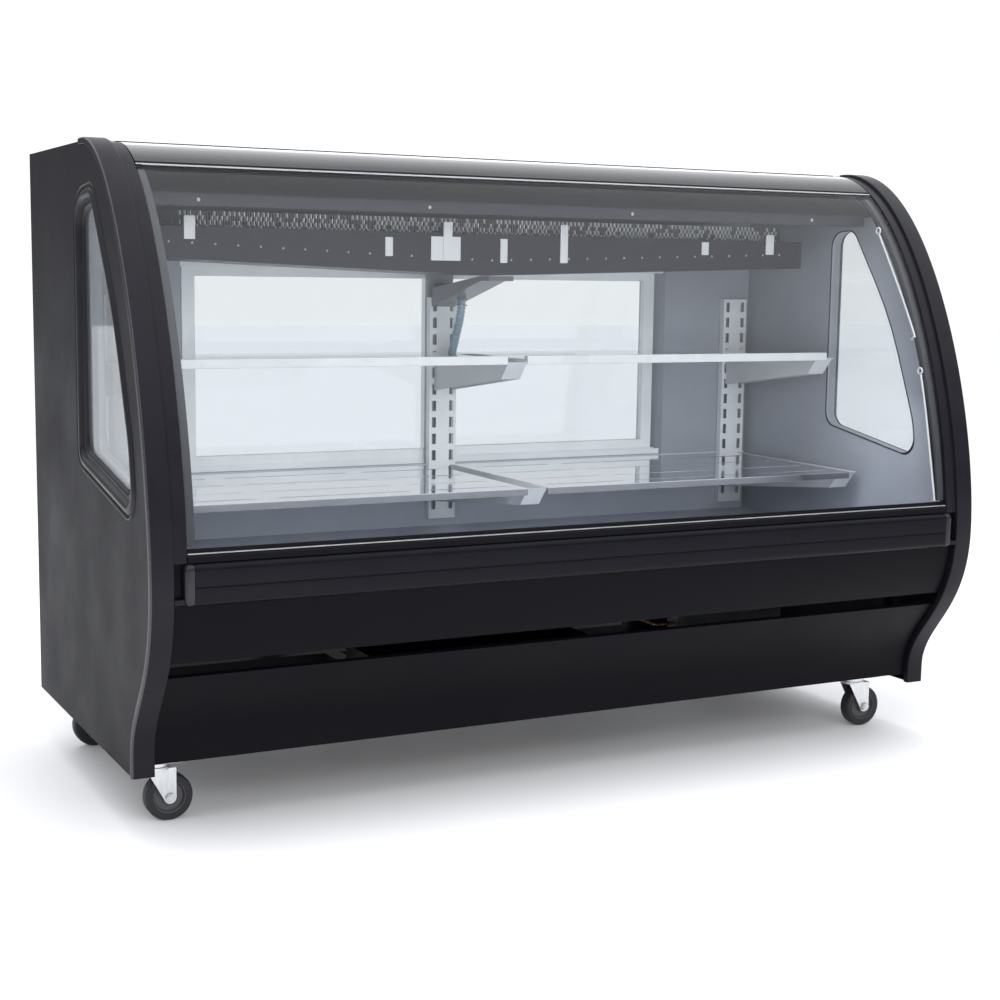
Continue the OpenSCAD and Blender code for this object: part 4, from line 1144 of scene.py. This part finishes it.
def softbox(name, place, aim, size, power):
    """A white panel of light, not seen in reflections."""
    data = bpy.data.lights.new(name, "AREA")
    data.shape = "RECTANGLE"
    data.size, data.size_y = size
    data.energy = power
    obj = bpy.data.objects.new(name, data)
    obj.location = place
    obj.rotation_euler = (Vector(aim) - Vector(place)).to_track_quat("-Z", "Y").to_euler()
    obj.visible_glossy = False
    bpy.context.scene.collection.objects.link(obj)


softbox("top_softbox", (0.2, -0.8, 4.4), (0, 0, 0.6), (4.0, 3.0), 96)
softbox("left_softbox", (-5.0, -1.5, 2.6), (-0.4, 0, 0.7), (2.4, 2.4), 36)
softbox("rear_softbox", (0.2, 4.2, 2.2), (0, 0, 0.9), (5.0, 2.6), 52)
softbox("front_softbox", (-0.4, -3.8, 1.5), (0, 0.1, 0.85), (3.6, 2.0), 85)
softbox("cabin_softbox", (0, -0.26, 0.86), (0, -0.22, 0.50), (1.75, 0.10), 2.5)


def backdrop_share(nodes, links, axes, path):
    """1 where a mirror ray leaves toward the white wall behind the case, else 0."""
    aside = compute(nodes, links, "GREATER_THAN", axes.outputs["X"], 0.12)
    behind = compute(nodes, links, "GREATER_THAN", axes.outputs["Y"], 0.3)
    both = compute(nodes, links, "MULTIPLY", aside, behind)
    return compute(nodes, links, "MULTIPLY", both, path.outputs["Is Glossy Ray"])


def world():
    """White to the eye and behind the case; as light, a sky bright overhead and dim along the horizon."""
    made = bpy.data.worlds.new("studio")
    made.use_nodes = True
    nodes, links = made.node_tree.nodes, made.node_tree.links
    nodes.clear()
    out = nodes.new("ShaderNodeOutputWorld")
    seen = nodes.new("ShaderNodeBackground")
    seen.inputs["Color"].default_value = (1, 1, 1, 1)
    seen.inputs["Strength"].default_value = 1.1
    light = nodes.new("ShaderNodeBackground")
    light.inputs["Color"].default_value = (0.95, 0.97, 1.0, 1)
    place = nodes.new("ShaderNodeTexCoord")
    axes = nodes.new("ShaderNodeSeparateXYZ")
    links.new(place.outputs["Generated"], axes.inputs["Vector"])
    height = spread(nodes, links, axes.outputs["Z"], (0.05, 0.75), (0.20, 1.5))
    height.interpolation_type = "SMOOTHSTEP"
    links.new(height.outputs["Result"], light.inputs["Strength"])
    wall = nodes.new("ShaderNodeBackground")
    wall.inputs["Color"].default_value = (0.97, 0.98, 1.0, 1)
    wall.inputs["Strength"].default_value = 0.95
    path = nodes.new("ShaderNodeLightPath")
    around = nodes.new("ShaderNodeMixShader")
    links.new(backdrop_share(nodes, links, axes, path), around.inputs["Fac"])
    links.new(light.outputs["Background"], around.inputs[1])
    links.new(wall.outputs["Background"], around.inputs[2])
    mix = nodes.new("ShaderNodeMixShader")
    links.new(path.outputs["Is Camera Ray"], mix.inputs["Fac"])
    links.new(around.outputs["Shader"], mix.inputs[1])
    links.new(seen.outputs["Background"], mix.inputs[2])
    links.new(mix.outputs["Shader"], out.inputs["Surface"])
    bpy.context.scene.world = made


world()
bpy.context.scene.view_settings.view_transform = "Standard"
